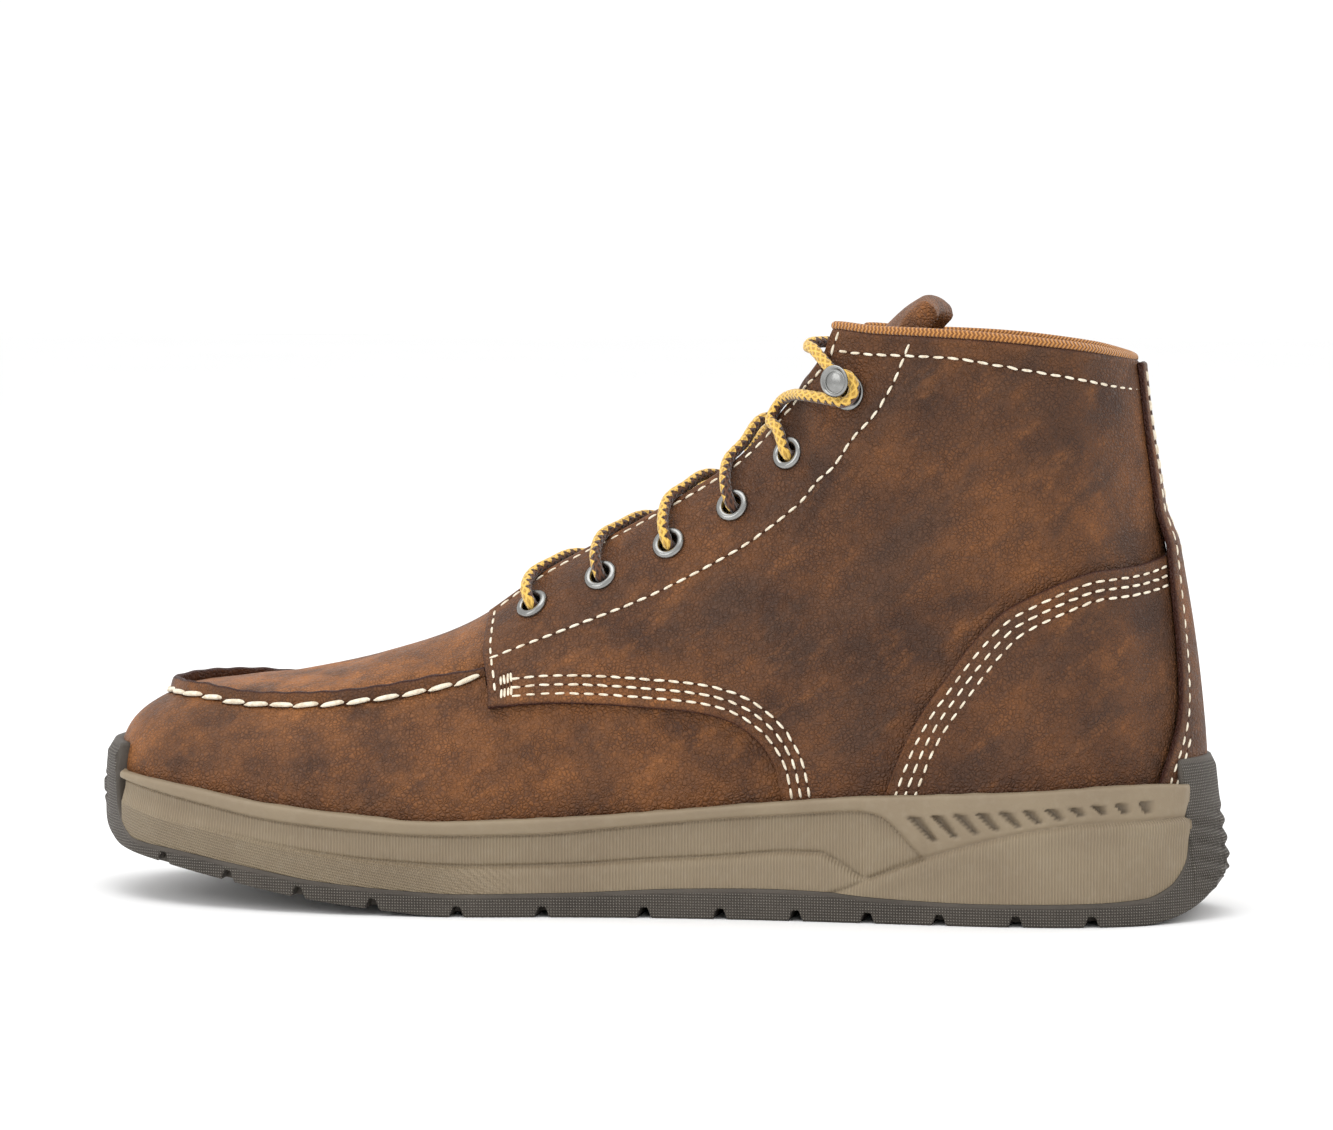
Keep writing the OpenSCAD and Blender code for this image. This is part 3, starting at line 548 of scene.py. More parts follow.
def lace_look():
    """Two colours of a round braid, with a toothed line between them."""
    k = Look("lace_cord", Roughness=0.7, Specular_IOR_Level=0.25, Sheen_Weight=0.3)
    cosine, sine, run = k.three_values("braid")
    angle = k.times(k.math("ARCTAN2", sine, cosine), 6.0)
    phase = k.times(run, 2 * math.pi / BRAID_PITCH)
    weave = k.math("MAXIMUM", k.math("SINE", k.add(angle, phase)),
                   k.math("SINE", k.math("SUBTRACT", angle, phase)))
    teeth = k.math("PINGPONG", k.math("DIVIDE", run, BRAID_PITCH), 0.5)
    side = k.add(cosine, k.times(k.math("SUBTRACT", teeth, 0.25), 2.2))
    # Painted shade: each colour is darker in the hollows between the braid's strands and paler on
    # their crests.
    gold = k.mix(k.ramp(weave, -0.2, 0.6), (0.55, 0.31, 0.05), (0.82, 0.52, 0.11))
    brown = k.mix(k.ramp(weave, -0.2, 0.6), (0.035, 0.014, 0.008), (0.11, 0.045, 0.022))
    k.set(Base_Color=k.mix(k.ramp(side, -0.08, 0.08), brown, gold))
    k.bump(weave, 0.00025, 0.8)
    return k.material


def piping_look():
    """Narrow ribbed knit that runs along the piping, with painted shade between its loops."""
    k = Look("piping_knit", Roughness=0.85, Specular_IOR_Level=0.2, Sheen_Weight=0.3)
    cosine, sine, run = k.three_values("braid")
    angle = k.math("ARCTAN2", sine, cosine)
    folds = k.math("ABSOLUTE", k.math("SINE", k.times(angle, 2.0)))
    loops = k.math("SINE", k.add(k.times(run, 2 * math.pi / 1.1), k.times(folds, 2.6)))
    # Painted shade: the knit is darker in the hollows between its loops.
    k.set(Base_Color=k.mix(k.ramp(loops, -0.7, 0.5), (0.24, 0.085, 0.02), (0.62, 0.28, 0.075)))
    k.bump(loops, 0.0003, 0.8)
    return k.material


LEATHER_LOOK = leather_look()
THREAD_LOOK = thread_look()
MIDSOLE_LOOK = midsole_look()
RUBBER_LOOK = rubber_look()
NICKEL_LOOK = metal_look("nickel", (0.3, 0.3, 0.29), 0.2)
LACE_LOOK = lace_look()
PIPING_LOOK = piping_look()
LINING_LOOK = plain_look("lining_cloth", (0.42, 0.2, 0.065), (0.2, 0.085, 0.03), 900.0)
FOOTBED_LOOK = plain_look("footbed_cloth", (0.06, 0.05, 0.042), (0.02, 0.017, 0.015),
                          1300.0)
FOAM_LOOK = plain_look("foam", (0.4, 0.4, 0.37), (0.2, 0.2, 0.18), 1600.0)
FACING_LOOK = plain_look("facing_leather", (0.12, 0.05, 0.026), (0.06, 0.025, 0.013),
                         1400.0)
BOARD_LOOK = plain_look("fibreboard", (0.42, 0.31, 0.19), (0.25, 0.18, 0.11), 2000.0)
COUNTER_LOOK = plain_look("counter_board", (0.6, 0.55, 0.46), (0.45, 0.4, 0.33), 1800.0)
STRIP_LOOK = plain_look("edge_strip", (0.12, 0.12, 0.12), (0.06, 0.06, 0.06), 1500.0)
CAP_LOOK = metal_look("cap_steel", (0.36, 0.37, 0.4), 0.35)
SHANK_LOOK = metal_look("shank_steel", (0.5, 0.5, 0.5), 0.35)
AGLET_LOOK = plain_look("aglet_plastic", (0.05, 0.022, 0.012), (0.02, 0.01, 0.006), 500.0,
                        roughness=0.3, depth=0.00003)


# ---- Leather panels ----
def lacing_holes(side, radius, hook_radius=1.6):
    places = [(*place, radius) for place in EYELETS] + [(*HOOK, hook_radius)]
    return [(surface(side * w, t), outward(side * w, t), r) for w, t, r in places]


def nearest(*distances):
    return np.minimum.reduce([np.broadcast_to(d, distances[0].shape) for d in distances])


def toe_wear(points):
    """Where the leather is pulled to a lighter colour: toe front, plug and wing."""
    x, z = points[..., 0], points[..., 2]
    toe = bump(x + 146, 14) * 0.55
    seam = bump(x + 95, 40) * bump(z - 58, 12) * 0.5
    return np.clip(toe + seam + 0.3, 0, 1)


def vamp():
    """The vamp runs from wing to wing, and under each quarter it steps down to the wing's edge."""
    half = np.concatenate([np.linspace(0, 5.28, 170), np.linspace(5.3, 5.4, 8),
                           np.linspace(5.43, 8.8, 110)])
    ws = np.concatenate([-half[:0:-1], half])
    r = np.abs(ws)
    wing = np.maximum(edge(WING, ws), np.interp(r, (8, 8.8), (0.2, 0.02))) + 0.09
    high = np.where(r < 5.35, edge(SEAM, ws), wing)
    w, t, (low, _), _ = panel_grid(ws, np.zeros_like(ws), high, 0.9)
    points = surface(w, t)
    relief = 0.25 * ripple(points, 26, 1) + 0.05 * ripple(points, 7, 2)
    relief = relief * np.clip(low / 6, 0, 1) * np.clip((high[:, None] - t) / 0.08, 0, 1)
    cloth_shell("vamp", w, t, -LEATHER, 0.0, np.full(w.shape, NO_EDGE), LEATHER_LOOK,
                "brown_leather", relief, wear=toe_wear(points), replaces=("vamp",))


LIP_HEIGHT = 4.4
LIP_THICK = 1.5
MOC_PITCH = 7.6


def seam_line(step):
    """Rib numbers along the moccasin seam, evenly spaced, and the distance run at each."""
    w = np.linspace(-5.36, 5.36, 3000)
    run = run_along(surface(w, edge(SEAM, w)))
    even = np.arange(0, run[-1], step)
    return np.interp(even, run, w), even


def lip_frame(w):
    """Foot of the lip, its direction up, and the direction out of its face."""
    t = edge(SEAM, w)
    along, up = slopes(w, t)
    normal = unit(np.cross(along, up))
    up = unit(np.cross(normal, unit(along)))
    rise = unit(0.6 * up + 0.7 * normal + [0, 0, 0.45])
    face = unit(np.cross(unit(along), rise))
    return surface(w, t), rise, face, up, normal


def moc_lip():
    """The vamp's edge, turned up along the seam: a lip with a cut top edge."""
    w, run = seam_line(0.7)
    foot, rise, face, _, _ = lip_frame(w)
    pucker = 0.12 * np.cos(2 * math.pi * run / MOC_PITCH)
    ends = np.clip(np.minimum(run, run[-1] - run) / 14, 0, 1)
    height = (LIP_HEIGHT + pucker + 0.25 * ripple(foot, 24, 3)) * (0.55 + 0.45 * ends)
    profile = [(-0.2, -0.9), (0.1, -0.25), (0.0, 0.12)]
    profile += [(f, 0.12 + 0.35 * math.sin(f * 2.6)) for f in (0.25, 0.45, 0.65, 0.82)]
    profile += [(0.93, 0.3), (0.985, 0.05), (1.0, -0.35), (1.0, -0.95), (0.97, -1.3),
                (0.9, -LIP_THICK), (0.6, -LIP_THICK), (0.3, -LIP_THICK), (-0.1, -LIP_THICK)]
    rows, rims = [], []
    for f, out in profile:
        rows.append(foot + rise * (f * height)[:, None]
                    + face * (out + 0.25 * f * ripple(foot, 9, 4))[:, None])
        rims.append(np.full(len(w), 1.0 if f > 0.9 else 0.55 if out < -1 else 0.0))
    points = np.stack(rows, 1)
    n, m = points.shape[:2]
    add_piece("moc_lip", points.reshape(-1, 3), grid_faces(n, m), LEATHER_LOOK, "brown_leather",
              rim=np.stack(rims, 1).ravel(), wear=np.full(n * m, 0.3))


def toe_plug():
    """The plug, which dips behind the lip."""
    verts, faces, rims, wears = [], [], [], []
    for side in (1, -1):
        ws = mirrored(side, np.linspace(0, 5.5, 190))
        low = edge(SEAM, ws) + 0.002
        w, t, (from_seam, _), _ = panel_grid(ws, low, np.ones_like(ws), 1.0)
        points = surface(w, t)
        near_seam = bump(from_seam, 2.6)
        dip = -2.4 * near_seam + 0.5 * bump(from_seam - 8, 4)
        flat = np.clip((1 - t) / 0.08, 0, 1)
        relief = (dip + 0.3 * ripple(points, 22, 5)) * flat
        verts.append(upper(w, t, relief).reshape(-1, 3))
        faces.append(grid_faces(*w.shape, start=count_points(verts[:-1])))
        # Painted shade beside the seam, where the lip stands over the plug; it goes in the rim
        # attribute with the cut edges.
        rims.append(0.9 * near_seam.ravel())
        wears.append((0.35 + toe_wear(points)).ravel())
    obj = add_piece("toe_plug", np.concatenate(verts), np.concatenate(faces), LEATHER_LOOK,
                    "brown_leather", replaces=("toe_plug",), rim=np.concatenate(rims),
                    wear=np.concatenate(wears))
    weld(obj)


def weld(obj, distance=0.00002):
    """Joins points that are in one place."""
    made = bmesh.new()
    made.from_mesh(obj.data)
    bmesh.ops.remove_doubles(made, verts=made.verts, dist=distance)
    made.to_mesh(obj.data)
    made.free()


def leaned(w, t):
    """The quarter's front edge leans back towards its foot."""
    r = np.abs(w)
    shift = 0.085 * soft(0.64 - t, 0, 0.22) * np.exp(-(r - QUARTER_FRONT) / 0.5)
    return w + np.sign(w) * shift, t


def quarter(side):
    name = "quarter_" + SIDES[side]
    ws = mirrored(side, np.concatenate([
        fine_span(QUARTER_FRONT, 8.0, 0.9)[:-5], np.linspace(8.0, 8.56, 34),
        np.linspace(8.58, 10.12, 60), np.linspace(10.14, 10.4, 22),
        fine_span(10.42, 14.9, 0.95)[4:]]))
    low = np.where(np.abs(ws) < 9, edge(WING, ws), np.maximum(0, edge(HEEL_EDGE, ws) - 0.09))
    high = np.minimum(edge(THROAT, ws), 1.0 if side > 0 else 0.992)
    w, t, rows, ends = panel_grid(ws, low, high, 0.9)
    w, t = leaned(w, t)
    points = surface(w, t)
    front = ends[0] if side > 0 else ends[1]
    near_sole = np.clip(t / 0.1, 0, 1)
    distance = nearest(rows[0] + 6 * (1 - near_sole), rows[1], front)
    relief = 0.25 * bump(distance - 1.4, 0.9) + np.clip(distance / 6, 0, 1) * (
        0.35 * ripple(points, 42, 6 + side) + 0.08 * ripple(points, 12, 2))
    wear = (0.45 * bump(points[..., 2] - 52, 14) * (np.abs(w) < 7.6)
            + 0.2 * np.exp(-distance / 3))
    cloth_shell(name, w, t, QUARTER_D, FACE, distance, LEATHER_LOOK, "brown_leather", relief,
                holes=lacing_holes(side, 3.1), wear=wear, replaces=(name,))


def heel_panel(side):
    name = "heel_panel_" + SIDES[side]
    ws = mirrored(side, np.concatenate([np.linspace(10.33, 10.5, 14),
                                        fine_span(10.52, 14.9, 0.9)[3:]]))
    w, t, rows, ends = panel_grid(ws, np.zeros_like(ws), edge(HEEL_EDGE, ws), 0.9)
    points = surface(w, t)
    front = ends[0] if side > 0 else ends[1]
    distance = nearest(rows[1], front)
    relief = (0.3 * bump(distance - 1.3, 0.9)
              + np.clip(distance / 6, 0, 1) * 0.3 * ripple(points, 36, 3 + side))
    cloth_shell(name, w, t, HEEL_PANEL_D, HEEL_PANEL_D + LEATHER, distance, LEATHER_LOOK,
                "brown_leather", relief, wear=0.25 * np.exp(-distance / 4), replaces=(name,))


BACKSTAY_TOP = 0.99


def backstay_drop(t):
    """Above the heel panels the backstay lies on the quarters."""
    return np.interp(t, (0.59, 0.66), (0, -LEATHER - GAP))


def backstay():
    heights = np.linspace(0, BACKSTAY_TOP, 230)
    a = line_at(BACKSTAY_EDGE, heights)
    f = fractions([17.0], 0.8)[0]
    t = np.broadcast_to(heights, (len(f), len(heights)))
    w = a + (AROUND - 2 * a) * f[:, None]
    points = surface(w, t)
    distance = nearest(*across_rows(points), (BACKSTAY_TOP - t) * 130)
    relief = 0.25 * bump(distance - 1.3, 0.9) + 0.1 * ripple(points, 20, 2)
    lift = backstay_drop(t)
    cloth_shell("backstay", w, t, BACKSTAY_D + lift, BACKSTAY_D + LEATHER + lift, distance,
                LEATHER_LOOK, "brown_leather", relief, wear=0.15, replaces=("backstay",))


def facing(side):
    name = "eyestay_facing_" + SIDES[side]
    ws = mirrored(side, np.concatenate([fine_span(5.56, 10.1, 1.4)[:-4],
                                        np.linspace(10.12, 10.36, 12),
                                        np.linspace(10.4, 11.1, 18)]))
    high = np.minimum(edge(THROAT, ws) - 0.008, 0.97)
    w, t, rows, ends = panel_grid(ws, edge(FACING_EDGE, ws), high, 1.4)
    cloth_shell(name, w, t, -FACING, 0.1, nearest(*rows, *ends), FACING_LOOK, "facing_leather",
                holes=lacing_holes(side, 2.9), replaces=(name,))


vamp()
moc_lip()
toe_plug()
for side in (1, -1):
    quarter(side)
    heel_panel(side)
    facing(side)
backstay()


# ---- Stitches ----
def taken(values, run, at):
    """Rows of values that go with distances run, interpolated at other distances."""
    return np.stack([np.interp(at, run, column) for column in values.T], 1)


def table_line(table, a=None, b=None, count=240):
    """Places (w, t) along a table's line from rib a to rib b, by equal steps of its length."""
    dense = np.linspace(a or table[0, 0], b or table[-1, 0], 2000)
    run = run_along(surface(dense, line_at(table, dense)))
    w = np.interp(np.linspace(0, run[-1], count), run, dense)
    return w, line_at(table, w)


def set_in(w, t, distance):
    """The line moved over the surface, to the left of its direction if distance is positive."""
    parts = 4
    for _ in range(parts):
        along, up = slopes(w, t)
        line = surface(w, t)
        forward = unit(np.gradient(line, axis=0))
        normal = unit(np.cross(along, up))
        aside = np.cross(normal, forward) * distance / parts
        g = np.stack([(along * along).sum(1), (along * up).sum(1), (up * up).sum(1)])
        p, q = (aside * along).sum(1), (aside * up).sum(1)
        det = g[0] * g[2] - g[1] ** 2
        w = w + (p * g[2] - q * g[1]) / det
        t = t + (q * g[0] - p * g[1]) / det
    return w, t


def bead(length, width, height, rings=7, sides=8):
    """A stitch: a plump oval that is lower at its ends, lying along X with Z out."""
    s = np.linspace(-1, 1, rings)
    r = np.sqrt(np.clip(1 - np.abs(s) ** 2.6, 0.02, 1))
    a = np.linspace(0, 2 * math.pi, sides, endpoint=False)
    x = np.repeat(s * length / 2, sides)
    y = (r[:, None] * np.cos(a) * width / 2).ravel()
    z = (r[:, None] * np.sin(a) * height / 2 - (1 - r)[:, None] * height * 0.35).ravel()
    return np.stack([x, y, z], 1), ring_faces(rings, sides)


def lay_beads(name, rows, length, width, height, material, slot, sink=0.0, **options):
    """One mesh of stitches, each laid at a centre along a direction with a normal."""
    shape, shape_faces = bead(length, width, height)
    verts, faces, start = [], [], 0
    for centres, forward, normals in rows:
        side = unit(np.cross(normals, forward))
        up = unit(np.cross(forward, side))
        turn = RNG.normal(0, 0.05, len(centres))
        ahead = forward * np.cos(turn)[:, None] + side * np.sin(turn)[:, None]
        side = np.cross(up, ahead)
        size = 1 + RNG.normal(0, 0.05, len(centres))
        points = (centres[:, None] + ahead[:, None] * (shape[:, 0] * size[:, None])[..., None]
                  + side[:, None] * shape[None, :, 1, None]
                  + up[:, None] * (shape[None, :, 2, None] - sink))
        for _ in centres:
            faces.append(shape_faces + start)
            start += len(shape)
        verts.append(points.reshape(-1, 3))
    return add_piece(name, np.concatenate(verts), np.concatenate(faces), material, slot,
                     **options)


STITCH_PITCH = 3.9
STITCH_LONG = 3.1
STITCH_WIDE = 0.72
ROW_INSET = 2.7
ROW_GAP = 2.4


def row_on(side, line, d):
    """A row of stitches along a line (w, t) at depth d: centres, directions, normals."""
    w, t = np.array(line) * [[side], [1]]
    keep = (t > 0.015) & (t < 0.992)
    w, t, d = w[keep], t[keep], np.broadcast_to(d, keep.shape)[keep]
    line = upper(w, t, d)
    run = run_along(line)
    at = np.arange(STITCH_PITCH / 2, run[-1], STITCH_PITCH)
    forward = unit(taken(line, run, at + 0.4) - taken(line, run, at - 0.4))
    return taken(line, run, at), forward, unit(taken(outward(w, t), run, at))


def seam_rows(side):
    """Every row of the white stitching on one side of the boot."""
    wing = table_line(WING, 5.62, 8.55)
    rows = [row_on(side, set_in(*wing, ROW_INSET + k * ROW_GAP), FACE) for k in range(3)]
    rows.append(row_on(side, table_line(SECOND_ROW), FACE))
    rows.append(row_on(side, set_in(*table_line(THROAT, 5.42, 10.28), -2.5), FACE))
    # The quarter's front edge, then the bar tack at its foot: (inset, from t, to t, points).
    for inset, low, high, count in [(2.3, 0.44, 0.81, 80),
                                    *((k, 0.41, 0.483, 24) for k in (4.3, 5.3, 6.4, 7.3))]:
        w = np.full(count, QUARTER_FRONT + inset / MM_PER_RIB)
        rows.append(row_on(side, leaned(w, np.linspace(low, high, count)), FACE))
    rows.append(row_on(side, table_line(COLLAR_ROW), FACE))
    heel = table_line(HEEL_EDGE, 10.3, 14.55)
    rows += [row_on(side, set_in(*heel, -ROW_INSET - k * ROW_GAP), HEEL_PANEL_D + LEATHER)
             for k in range(3)]
    t = np.linspace(0.09, 0.955, 200)
    w = line_at(BACKSTAY_EDGE, t)
    outer = BACKSTAY_D + LEATHER + backstay_drop(t)
    rows.append(row_on(side, set_in(w, t, -2.6), outer))
    low = t < 0.2
    rows.append(row_on(side, set_in(w[low], t[low], -4.8), outer[low]))
    return rows


def as_pits(rows):
    """Dark pits of painted shade at the holes at both ends of each stitch."""
    return [(centres + end * forward * STITCH_LONG * 0.55, forward, normals)
            for centres, forward, normals in rows for end in (-1, 1)]


def hole_shade_look():
    # Near-black brown: painted shade inside the stitch holes.
    k = Look("stitch_hole", Roughness=0.9, Specular_IOR_Level=0.1)
    k.set(Base_Color=k.mix(k.noise(900.0), (0.035, 0.015, 0.009), (0.07, 0.03, 0.015)))
    return k.material


HOLE_SHADE_LOOK = hole_shade_look()
for side, suffix in SIDES.items():
    rows = seam_rows(side)
    lay_beads("stitching_" + suffix, rows, STITCH_LONG, STITCH_WIDE, 0.8, THREAD_LOOK, "thread",
              sink=0.02)
    lay_beads("stitch_hole_shades_" + suffix, as_pits(rows), 0.6, 0.5, 0.12, HOLE_SHADE_LOOK,
              "brown_leather")


def moc_stitches():
    """The thick stitches along the foot of the lip, and painted shade at the holes that they come
    out of.
    """
    w, run = seam_line(0.35)
    foot, rise, face, up, normal = lip_frame(w)
    at = np.arange(MOC_PITCH / 2 - 1, run[-1] - 1, MOC_PITCH)
    pick = np.searchsorted(run, at)
    forward = unit(foot[np.minimum(pick + 6, len(w) - 1)] - foot[np.maximum(pick - 6, 0)])
    out = unit(normal[pick] + face[pick])
    tilt = 0.14 * np.sign(w[pick])
    ahead = unit(forward + tilt[:, None] * up[pick])
    centres = foot[pick] + rise[pick] * 0.5 + out * 0.55
    lay_beads("moc_seam_thread", [(centres, ahead, out)], 8.0, 1.45, 1.4, THREAD_LOOK, "thread",
              replaces=("moc_seam_thread",))
    ends = [(centres + e * ahead * 3.7 - out * 0.45, ahead, out) for e in (-1, 1)]
    lay_beads("moc_seam_hole_shades", ends, 1.1, 1.1, 0.4, HOLE_SHADE_LOOK, "brown_leather")


moc_stitches()


# ---- Sole ----
# How far the sole's outline and its ledge stand out from the foot of the upper, at each rib.
SOLE_MARGIN = [(0, 5.75), (2, 5), (4, 5), (7, 4.5), (10, 6), (13, 8), (14, 9.5), (15, 12.3)]
SOLE_LEDGE = [(0, 0.45), (8.25, 0.45), (8.5, 2.3), (10, 2.3), (10.25, 4.3), (13.5, 4.3),
              (13.75, 6.3), (15, 6.3)]
# Lines along the sole's side, as (x, z).
MIDSOLE_TOP = smooth([(-145.5, 34.6), (-121, 32.3), (-97, 28.9), (-73.5, 26.7), (-52, 25.2),
                      (-32.5, 25.7), (-3, 27.3), (23.5, 29.7), (46.5, 31.9), (62, 33.2),
                      (72, 33.7), (100, 35), (137.5, 36.9), (146.5, 36.1)], 8)
PARTING = smooth([(-145.1, 34), (-144.3, 25), (-140.5, 18.5), (-137.3, 16.5), (-123.5, 14.9),
                  (-105, 12.2), (-81.5, 8.6), (-59, 6.8), (-43, 6), (-15.5, 6.4), (15, 7.8),
                  (37.5, 8.2), (51, 7.9), (69, 6.5), (93.5, 5.8), (121.5, 6.1), (135.5, 7),
                  (141.5, 9.7), (146, 17), (147.4, 24), (147.7, 34)], 8)
TREAD_LINE = smooth([(-154.8, 26.5), (-154.2, 23.5), (-152, 19.8), (-148.4, 16.6),
                     (-143, 13.9), (-128, 11.3), (-107, 7.6), (-87, 4.2), (-66, 1.7), (-44, 0),
                     (135, 0), (141.5, 1.1), (147, 3.3), (151.3, 6.8), (153.8, 11),
                     (154.8, 16)], 8)
TOP_GROOVE = smooth([(-146, 32.6), (-142, 32.1), (-119, 28.4), (-95, 24.4), (-72, 22.4),
                     (-50, 21.4), (-23, 21.8), (-3, 23.6), (24, 26.3), (45, 28), (62, 29.2),
                     (66.5, 28.4), (78.8, 16.9)], 8)
LOW_GROOVE = smooth([(-146, 27), (-132, 23.8), (-111, 20.6), (-87.5, 16.6), (-65, 14.2),
                     (-40, 13.1), (-16, 13.5), (4, 14.9), (24, 16.2), (44, 17.8), (51, 17.8),
                     (55, 16), (62.2, 11.5)], 8)
HEEL_RIDGE = smooth([(50, 6.5), (55.8, 7.9), (65.9, 12.1), (78.8, 16.9), (94, 21.5),
                     (107.6, 24.6), (121.3, 26.4), (147, 27.2)], 8)
# How far the rubber leans back at each height, at the toe and at the heel.
BUMPER_FRONT = [(25, 0.5), (31, 0.5), (38, 1.1), (41.3, 3.2)]
CUP_BACK = [(13, 0), (24.5, 1.8), (32.4, 3), (39.6, 3.8), (42.4, 5.2)]
BUMPER_X, BUMPER_TOP = -145.8, 41.3
CUP_X, CUP_TOP = 147.5, 42.4
GROOVES = [-127, -107, -86.5, -66, -43.5, -21.5, 5, 25, 45, 64, 83, 103, 122.5]


def sideways(w):
    """Directions out of the foot of the upper, square to it and level."""
    d = surface(w + 0.02, 0) - surface(w - 0.02, 0)
    return unit(np.stack([d[..., 1], -d[..., 0], np.zeros(d.shape[:-1])], -1))


def outline(side, count=4000):
    """The sole's outline on one side from toe to heel, as x, y and the way out."""
    w = np.linspace(0, 15, count) * side
    points = surface(w, 0) + sideways(w) * edge(SOLE_MARGIN, w)[:, None]
    x, y = points[:, 0].copy(), points[:, 1].copy()
    y[0] = y[-1] = 0
    way = np.gradient(points[:, :2], axis=0)
    out = unit(np.stack([way[:, 1], -way[:, 0]], 1)) * side
    return np.maximum.accumulate(x), y, out, w


OUTLINES = {side: outline(side) for side in (1, -1)}


def stations(step):
    """Places along the boot: even along the outline, and close together at each groove."""
    x, y, _, _ = OUTLINES[1]
    run = run_along(np.stack([x, y], 1))
    even = np.interp(np.linspace(0, run[-1], int(run[-1] / step)), run, x)
    cuts = [g + k for g in GROOVES for k in (-2.1, -1.6, -1.2, -0.7, 0.7, 1.2, 1.6, 2.1)]
    even = [v for v in even if min(abs(v - c) for c in cuts) > 0.25 * step]
    return np.array(sorted(even + cuts))


def at_outline(side, x):
    """The outline at each x: its y, the way out, and the rib number."""
    xs, y, out, w = OUTLINES[side]
    keep = np.concatenate([[True], np.diff(xs) > 1e-7])
    take = [np.interp(x, xs[keep], v[keep]) for v in (y, out[:, 0], out[:, 1], w)]
    return take[0], unit(np.stack([take[1], take[2], np.zeros_like(x)], 1)), take[3]


def off_line(table, x, z):
    """Distance above a line that is drawn on the sole's side, square to the line."""
    slope = (line_at(table, x + 0.5) - line_at(table, x - 0.5))
    return (z - line_at(table, x)) / np.sqrt(1 + slope ** 2)


def midsole_relief(x, z):
    """How far the midsole's side stands out at each place, and how it is textured."""
    top = off_line(TOP_GROOVE, x, z)
    low = off_line(LOW_GROOVE, x, z)
    ridge = off_line(HEEL_RIDGE, x, z)
    before_top = soft(79.5 - x, 0, 1.5)
    before_low = soft(63.5 - x, 0, 2)
    behind = soft(x, 52, 56)
    in_heel = behind * soft(-ridge, -0.25, 0.25)
    band = before_top * soft(-top, -0.15, 0.35) * soft(low, -0.1, 0.4) * (1 - in_heel)
    shallow = soft(x, -135, -55)
    height = 0.5 * before_top * bump(top - 3, 2.6) - band
    height = height - 0.55 * before_top * (1 - in_heel) * bump(top + 0.1, 0.4)
    under = before_low * (1 - in_heel) * shallow
    height = height - 0.6 * under * bump(low - 0.15, 0.4)
    height = height - 0.5 * under * soft(low, -2.2, 0)
    height = height + (1 - shallow) * band * soft(low, 5, 0) * 0.8
    upper_heel = soft(x, 66, 80) * soft(ridge, 0, 0.6)
    height = height - 0.9 * upper_heel * np.exp(-np.maximum(ridge, 0) / 5)
    height = height - 0.5 * behind * bump(ridge - 0.2, 0.45)
    height = height + 0.35 * in_heel * bump(ridge + 2.2, 2.2)
    height = 1.35 * height - recesses(x, z)
    height = height - 2.2 * soft(-x, 142.2, 144.8) - 1.4 * soft(x, 145.2, 147.5)
    plain = np.maximum(before_top * soft(top, -0.2, 0.2), upper_heel)
    lower = before_low * (1 - in_heel) * soft(-low, 0, 0.5) * soft(-x, 20, 60)
    return height, (1 + lower) * (1 - plain)


def recesses(x, z):
    """Eleven slanted hollows in the heel's upper band, each deep at one side."""
    depth = 0
    for k in range(11):
        x_top, x_low = 74.8 + 5.95 * k, 81.0 + 5.5 * k
        z_top, z_low = 28.3 + 0.43 * k, min(22.0 + k, 29.4)
        f = np.clip((z_top - z) / (z_top - z_low), 0, 1)
        across = x - (x_top + (x_low - x_top) * f)
        wide = 3.9 - 1.9 * f
        inside = soft(z, z_low - 0.3, z_low + 0.5) * soft(-z, -z_top - 0.3, -z_top + 0.3)
        face = soft(across, -0.25, 0.25) * soft(wide - across, -0.2, 0.4)
        depth = depth + 1.8 * inside * face * np.clip(1.1 - across / wide, 0, 1)
    return depth


def upper_at_height(w, z):
    """Height t on the upper at which it is z above the ground."""
    low, high = np.zeros_like(z), np.full_like(z, 0.45)
    for _ in range(24):
        mid = (low + high) / 2
        above = surface(w, mid)[..., 2] > z
        high = np.where(above, mid, high)
        low = np.where(above, low, mid)
    return (low + high) / 2


MIDSOLE_ROWS = 66


